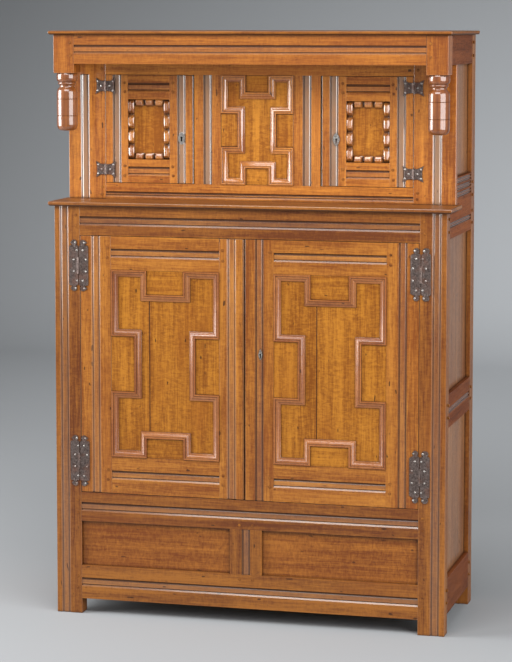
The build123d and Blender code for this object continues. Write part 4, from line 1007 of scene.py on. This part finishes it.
def toothed_border(node):
    """Rows of teeth round an upper door's panel."""
    low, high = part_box(node)
    width = TOOTH_WIDTH
    teeth = []
    step = (high[2] - low[2]) / TEETH_UP
    stock = tooth("tooth", low, (low[0] + width, high[1], low[2] + step))
    for side in (0, 1):
        for k in range(TEETH_UP):
            piece = copy_of(stock, "tooth")
            pick(piece)
            if side:
                bpy.ops.transform.mirror(constraint_axis=(True, False, False),
                                         center_override=(low[0] + width / 2, 0, 0))
            move(side * (high[0] - low[0] - width), 0, k * step)
            teeth.append(settle(piece))
    remove(stock)
    step = (high[0] - low[0] - 2 * width) / len(TEETH_ACROSS)
    middle = Vector(((low[0] + high[0]) / 2, 0, (low[2] + high[2]) / 2))
    stock = tooth("tooth", (middle.x - width / 2, low[1], middle.z - step / 2),
                  (middle.x + width / 2, high[1], middle.z + step / 2))
    for side in (-1, 1):
        for k in TEETH_ACROSS:
            place = (k * step, 0, side * ((high[2] - low[2]) / 2 - width / 2))
            teeth.append(placed(stock, place, (side * math.pi / 2, "Y", middle)))
    remove(stock)
    border = joined(node + "_worn", teeth)
    with editing(border):
        turn_faces_out()
    lay_grain(border, notched=True)
    smooth(border, 38)
    return border


class CUPBOARD_OT_mouldings(bpy.types.Operator):
    """Mitred mouldings and notched borders round the panels"""

    bl_idname = "cupboard.mouldings"
    bl_label = "Mouldings"

    def execute(self, context):
        for node, shares in MOULDED_FIELDS.items():
            piece = mitred_moulding(node, shares)
            finish = "bay moulding oak" if node == "centre_moulding" else "moulding oak"
            dress(piece, finish, body_of(node), "oak_moulding", node)
        for node in ("upper_left_door_border", "upper_right_door_border"):
            dress(toothed_border(node), "tooth oak", body_of(node), "oak_moulding", node)
        return {"FINISHED"}


class CUPBOARD_OT_pendants(bpy.types.Operator):
    """The two turned drops and the blocks they hang from"""

    bl_idname = "cupboard.pendants"
    bl_label = "Pendants"

    def execute(self, context):
        sizes = context.scene.cupboard_sizes
        low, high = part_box("pendants")
        side = sizes.pendant_block
        base = high[2] - sizes.pendant_height
        corner = block("pendant", (high[0] - side, low[1], base), (high[0], low[1] + side, high[2]))
        soften(corner, sizes.softness * 1.5)
        middle = Vector((high[0] - side / 2, low[1] + side / 2, base + DROP_BURIED))
        start_clean()
        radius, depth = DROP_STEPS[0]
        bpy.ops.mesh.primitive_circle_add(vertices=sizes.wheel_steps, radius=radius, fill_type="NGON",
                                          location=middle)
        drop = settle(context.object)
        with editing(drop):
            choose_all()
            for next_radius, next_depth in DROP_STEPS[1:]:
                extrude(0, 0, depth - next_depth)
                grow = next_radius / radius
                bpy.ops.transform.resize(value=(grow, grow, 1),
                                         center_override=(middle.x, middle.y, base - next_depth))
                radius, depth = next_radius, next_depth
            choose("edges", lambda e: e.is_boundary)
            bpy.ops.mesh.edge_face_add()
            turn_faces_out()
        for right, name, finish, nodes in ((corner, "pendant_blocks", "frieze oak", ("pendants",)),
                                           (drop, "pendant_drops", "turned oak", ())):
            both = joined(name, [right, placed(right, (low[0] - high[0] + side, 0, 0))])
            lay_grain(both, 2)
            smooth(both, 44)
            dress(both, finish, "cabinet", "oak_moulding", *nodes)
        return {"FINISHED"}


def round_plate(name, sides, radius, depth, place=ORIGIN, scale=(1, 1, 1)):
    """A thin disc that faces the front."""
    start_clean()
    bpy.ops.mesh.primitive_cylinder_add(vertices=sides, radius=radius, depth=depth, location=place,
                                        rotation=(math.pi / 2, 0, 0), scale=scale)
    bpy.context.object.name = name
    return settle(bpy.context.object)


def raise_front(piece, *steps):
    """Inset the front of a disc, step by step; each step is a width and a rise."""
    with editing(piece):
        choose("faces", lambda f: f.normal.y < -FACING)
        for thickness, depth in steps:
            bpy.ops.mesh.inset(thickness=thickness, depth=depth)


def leaf_with_field(node):
    """The leaves of a hinge, each with a raised rim round a sunk field."""
    piece = bare_copy(node, "_forged")
    with editing(piece):
        weld()
        for hand, side in ((-1, -1), (-1, 1), (1, -1), (1, 1)):
            if node.startswith("lower"):
                edge = hand * H_HINGE_X + side * H_LEAF_EDGE
                choose("verts", lambda v: (v.co.x - edge) * side > -H_LEAF_BAND)
                move(side * H_LEAF_WIDER[side == hand], 0, 0)
        choose("faces", lambda f: f.normal.y < -FACING and f.calc_area() > LEAF_AREA)
        bpy.ops.mesh.inset(thickness=LEAF_RIM, depth=0, use_even_offset=True)
        bpy.ops.mesh.inset(thickness=0.0005, depth=-LEAF_SUNK, use_even_offset=True)
    soften(piece, LEAF_SOFTNESS)
    smooth(piece, 38)
    return piece


def key_plate():
    """The thin oval plate round the upper left keyhole."""
    x, y, z = KEYHOLE
    place = (x, y - SHEET / 4, z)
    plate = round_plate("upper_left_door_key_plate", 32, 0.5, SHEET, place, (*KEY_PLATE_SPAN, 1))
    raise_front(plate, *KEY_PLATE_RIMS)
    smooth(plate, 30)
    return plate


def keyhole():
    """The keyhole in that plate, a round eye over a slot, made as a near-black inlay: painted shade where the
    hole is dark.
    """
    x, y, z = KEYHOLE
    radius, lift = KEY_EYE
    half, foot = KEY_SLOT
    front, middle, back = KEY_DEPTHS
    eye = round_plate("eye", 20, radius, SHEET, (x, y - middle, z + lift))
    slot = block("slot", (x - half, y - front, z - foot), (x + half, y - back, z + lift))
    with editing(slot):
        choose("verts", lambda v: v.co.z < z - foot + NEAR)
        bpy.ops.transform.resize(value=(KEY_SLOT_FLARE, 1, 1), center_override=(x, y, z))
    return joined("upper_left_door_keyhole", [eye, slot])


class CUPBOARD_OT_ironwork(bpy.types.Operator):
    """Hinge leaves with their nails, locks, bolts and the button's nail"""

    bl_idname = "cupboard.ironwork"
    bl_label = "Ironwork"

    def execute(self, context):
        radius = context.scene.cupboard_sizes.nail_radius
        stock = round_plate("nail", NAIL_SIDES, radius, SHEET)
        raise_front(stock, *((radius * share, rise) for share, rise in NAIL_RIMS))
        smooth(stock, 20, False)
        heads = {}
        for stage, axes, heights, leaf, face, nails in (
            ("lower", (-H_HINGE_X, H_HINGE_X), H_HINGE_HEIGHTS, H_LEAF_MIDDLE, H_FACE, H_NAILS),
            ("upper", B_HINGE_X, B_HINGE_HEIGHTS, B_LEAF_MIDDLE, B_FACE, B_NAILS),
        ):
            for hand, which, axis in ((-1, "left", axes[0]), (1, "right", axes[1])):
                for z in heights:
                    for side, body in ((-1, f"{stage}_{which}_door"), (1, "cabinet")):
                        middle = axis + hand * side * leaf
                        for u, w in nails:
                            heads.setdefault(body, []).append((middle + u * hand * side, face, z + w))
        for body, places in heads.items():
            nails = [placed(stock, place, (NAIL_TURN * k, "Y", ORIGIN)) for k, place in enumerate(places)]
            dress(joined(f"{body}_hinge_nails", nails), "bright iron", body, "iron")
        remove(stock)
        for node in sorted(frame["nodes"]):
            if node.endswith("hinge_leaves"):
                dress(leaf_with_field(node), "black iron", body_of(node), "iron", node)
            elif node.endswith(("_lock", "_bolt", "_nail")):
                frame["nodes"][node].data.materials.clear()
                frame["nodes"][node].data.materials.append(finish_named("lock iron"))
        dress(key_plate(), "bright iron", "upper_left_door", "iron")
        # A near-black inlay: painted shade inside the keyhole.
        dress(keyhole(), "dark", "upper_left_door", "iron")
        return {"FINISHED"}


class CUPBOARD_OT_pegs(bpy.types.Operator):
    """Riven oak pegs through the tenons, standing a little proud"""

    bl_idname = "cupboard.pegs"
    bl_label = "Pegs"

    def execute(self, context):
        sizes = context.scene.cupboard_sizes
        radius, stand = sizes.peg_width / 2, sizes.peg_stand
        stock = round_plate("peg", PEG_SIDES, radius, PEG_LENGTH, (0, PEG_LENGTH / 2 - stand, 0))
        raise_front(stock, (radius * PEG_RIM[0], stand * PEG_RIM[1]))
        dice = random.Random(41)
        for body, places in PEGS.items():
            pegs = []
            for x, y, z, facing in places:
                turns = [(dice.uniform(0, 3), "Y", ORIGIN)]
                if facing:
                    turns.append((facing * math.pi / 2, "Z", ORIGIN))
                stray = [dice.uniform(-1, 1) * reach for reach in PEG_STRAY]
                pegs.append(placed(stock, (x + stray[0], y, z + stray[1]), *turns))
            whole = joined(f"{body}_pegs", pegs)
            lay_grain(whole, 1)
            smooth(whole, 30, False)
            dress(whole, "peg oak", body, "oak")
        remove(stock)
        return {"FINISHED"}


class CUPBOARD_OT_inside(bpy.types.Operator):
    """Dry boards inside and behind, with their finish"""

    bl_idname = "cupboard.inside"
    bl_label = "Inside and back"

    def execute(self, context):
        for node in INNER_BOARDS:
            piece = board_copy(node, INSIDE_SOFTNESS, 2 if node == "back_boards" else None)
            dress(piece, "inside oak", body_of(node), "oak_inside", node)
        return {"FINISHED"}


def backdrop_cloth():
    """Pale grey cloth of the floor and backdrop, with painted light and shade: lighter towards the back,
    darker towards the top and, at the back, towards the left.
    """
    cloth = Finish(bpy.data.materials.new("backdrop"))
    place = cloth.node("ShaderNodeTexCoord", out=3)
    across, depth, rise = (cloth.node("ShaderNodeSeparateXYZ", None, {0: place}, out=k) for k in range(3))
    cloud = 0.04 * (cloth.noise(place, (0.5, 0.5, 0.5), 2.0) - 0.5)
    # Painted light and shade: lighter towards the back, against the lamps' fall-off, and darker towards the
    # top of the backdrop.
    shade = 0.335 + 0.055 * depth.above(0.0) - 0.195 * (rise - 0.2).above(0.0) + cloud
    # Painted shade: at the back, darker to the left and lighter to the right.
    shade = shade * (1.0 + 0.10 * (across + 0.6) * (0.25 * depth - 0.5).clamped())
    tint = cloth.mix(shade, (0.0, 0.0, 0.0), (0.93, 0.965, 1.0))
    shader = cloth.node("ShaderNodeBsdfPrincipled", None, {"Base Color": tint, "Roughness": 0.85})
    cloth.node("ShaderNodeOutputMaterial", None, {"Surface": shader})
    return cloth.owner


def softbox(name, place, width, height, watts):
    """A soft rectangular lamp, turned to the cupboard or to the backdrop."""
    lamp = bpy.data.lights.new(name, "AREA")
    lamp.shape = "RECTANGLE"
    lamp.size = width
    lamp.size_y = height
    lamp.energy = watts
    stand = bpy.data.objects.new(name, lamp)
    bpy.context.scene.collection.objects.link(stand)
    stand.location = place
    aim = Vector(BACKDROP_AIM if name.startswith("backdrop") else LAMP_AIM)
    stand.rotation_euler = (aim - Vector(place)).to_track_quat("-Z", "Y").to_euler()


def studio_air():
    """Faint light from all round, paler where it is seen."""
    air = Finish(bpy.data.worlds.new("studio"))
    seen = air.node("ShaderNodeLightPath", out=SEEN_RAYS[0])
    for ray in SEEN_RAYS[1:]:
        seen = seen.above(air.node("ShaderNodeLightPath", out=ray))
    ambient = air.node("ShaderNodeBackground", None, {"Color": (0.96, 0.98, 1.0, 1.0),
                                                      "Strength": AMBIENT + AMBIENT_SEEN * seen})
    air.node("ShaderNodeOutputWorld", None, {"Surface": ambient})
    return air.owner


class CUPBOARD_OT_stage(bpy.types.Operator):
    """Floor, backdrop, lamps and camera"""

    bl_idname = "cupboard.stage"
    bl_label = "Floor, light and camera"

    def execute(self, context):
        start_clean()
        side = context.scene.cupboard_sizes.floor_size
        bpy.ops.mesh.primitive_plane_add(size=side, location=(0, 0, 0))
        floor = context.object
        floor.name = "floor"
        back = side / 2 - 0.01
        with editing(floor):
            choose("edges", lambda e: all(v.co.y > back for v in e.verts))
            extrude(0, 0, BACKDROP_HEIGHT)
            choose("edges", lambda e: all(abs(v.co.z) < 0.01 and v.co.y > back for v in e.verts))
            bpy.ops.mesh.bevel(offset=COVE, segments=24, affect="EDGES")
        smooth(floor, 60)
        floor.data.materials.append(backdrop_cloth())
        for lamp in LAMPS:
            softbox(*lamp)
        context.scene.world = studio_air()

        eye = bpy.data.cameras.new("camera")
        eye.sensor_fit = "AUTO"
        eye.sensor_width = 36.0
        eye.lens = CAMERA_LENS
        eye.shift_y = CAMERA_SHIFT
        eye.clip_end = 60.0
        camera = bpy.data.objects.new("camera", eye)
        context.scene.collection.objects.link(camera)
        camera.location = CAMERA_PLACE
        camera.rotation_euler = (math.radians(CAMERA_TILT), 0.0, math.radians(CAMERA_TURN))
        context.scene.camera = camera
        context.scene.view_settings.view_transform = "Standard"
        return {"FINISHED"}


class CUPBOARD_PT_pieces(bpy.types.Panel):
    """Buttons and settings in the sidebar"""

    bl_idname = "CUPBOARD_PT_pieces"
    bl_label = "Court cupboard"
    bl_space_type = "VIEW_3D"
    bl_region_type = "UI"
    bl_category = "Cupboard"

    def draw(self, context):
        for maker in MAKERS:
            self.layout.operator(maker.bl_idname)
        for group in (context.scene.cupboard_sizes, context.scene.cupboard_wood, context.scene.cupboard_iron):
            for name in group.__annotations__:
                self.layout.prop(group, name)


GROUPS = {"cupboard_wood": CupboardWood, "cupboard_iron": CupboardIron, "cupboard_sizes": CupboardSizes}
MAKERS = (
    CUPBOARD_OT_frame_boards,
    CUPBOARD_OT_doors,
    CUPBOARD_OT_mouldings,
    CUPBOARD_OT_pendants,
    CUPBOARD_OT_ironwork,
    CUPBOARD_OT_pegs,
    CUPBOARD_OT_inside,
    CUPBOARD_OT_stage,
)


def register():
    """Register the settings, operators and panel."""
    for name, group in GROUPS.items():
        bpy.utils.register_class(group)
        setattr(bpy.types.Scene, name, PointerProperty(type=group))
    for maker in (*MAKERS, CUPBOARD_PT_pieces):
        bpy.utils.register_class(maker)


def unregister():
    """Remove them again."""
    for maker in (CUPBOARD_PT_pieces, *reversed(MAKERS)):
        bpy.utils.unregister_class(maker)
    for name, group in GROUPS.items():
        delattr(bpy.types.Scene, name)
        bpy.utils.unregister_class(group)


def main():
    """Build every piece in order."""
    register()
    for maker in MAKERS:
        group, call = maker.bl_idname.split(".")
        getattr(getattr(bpy.ops, group), call)()
    start_clean()


if __name__ == "__main__":
    main()
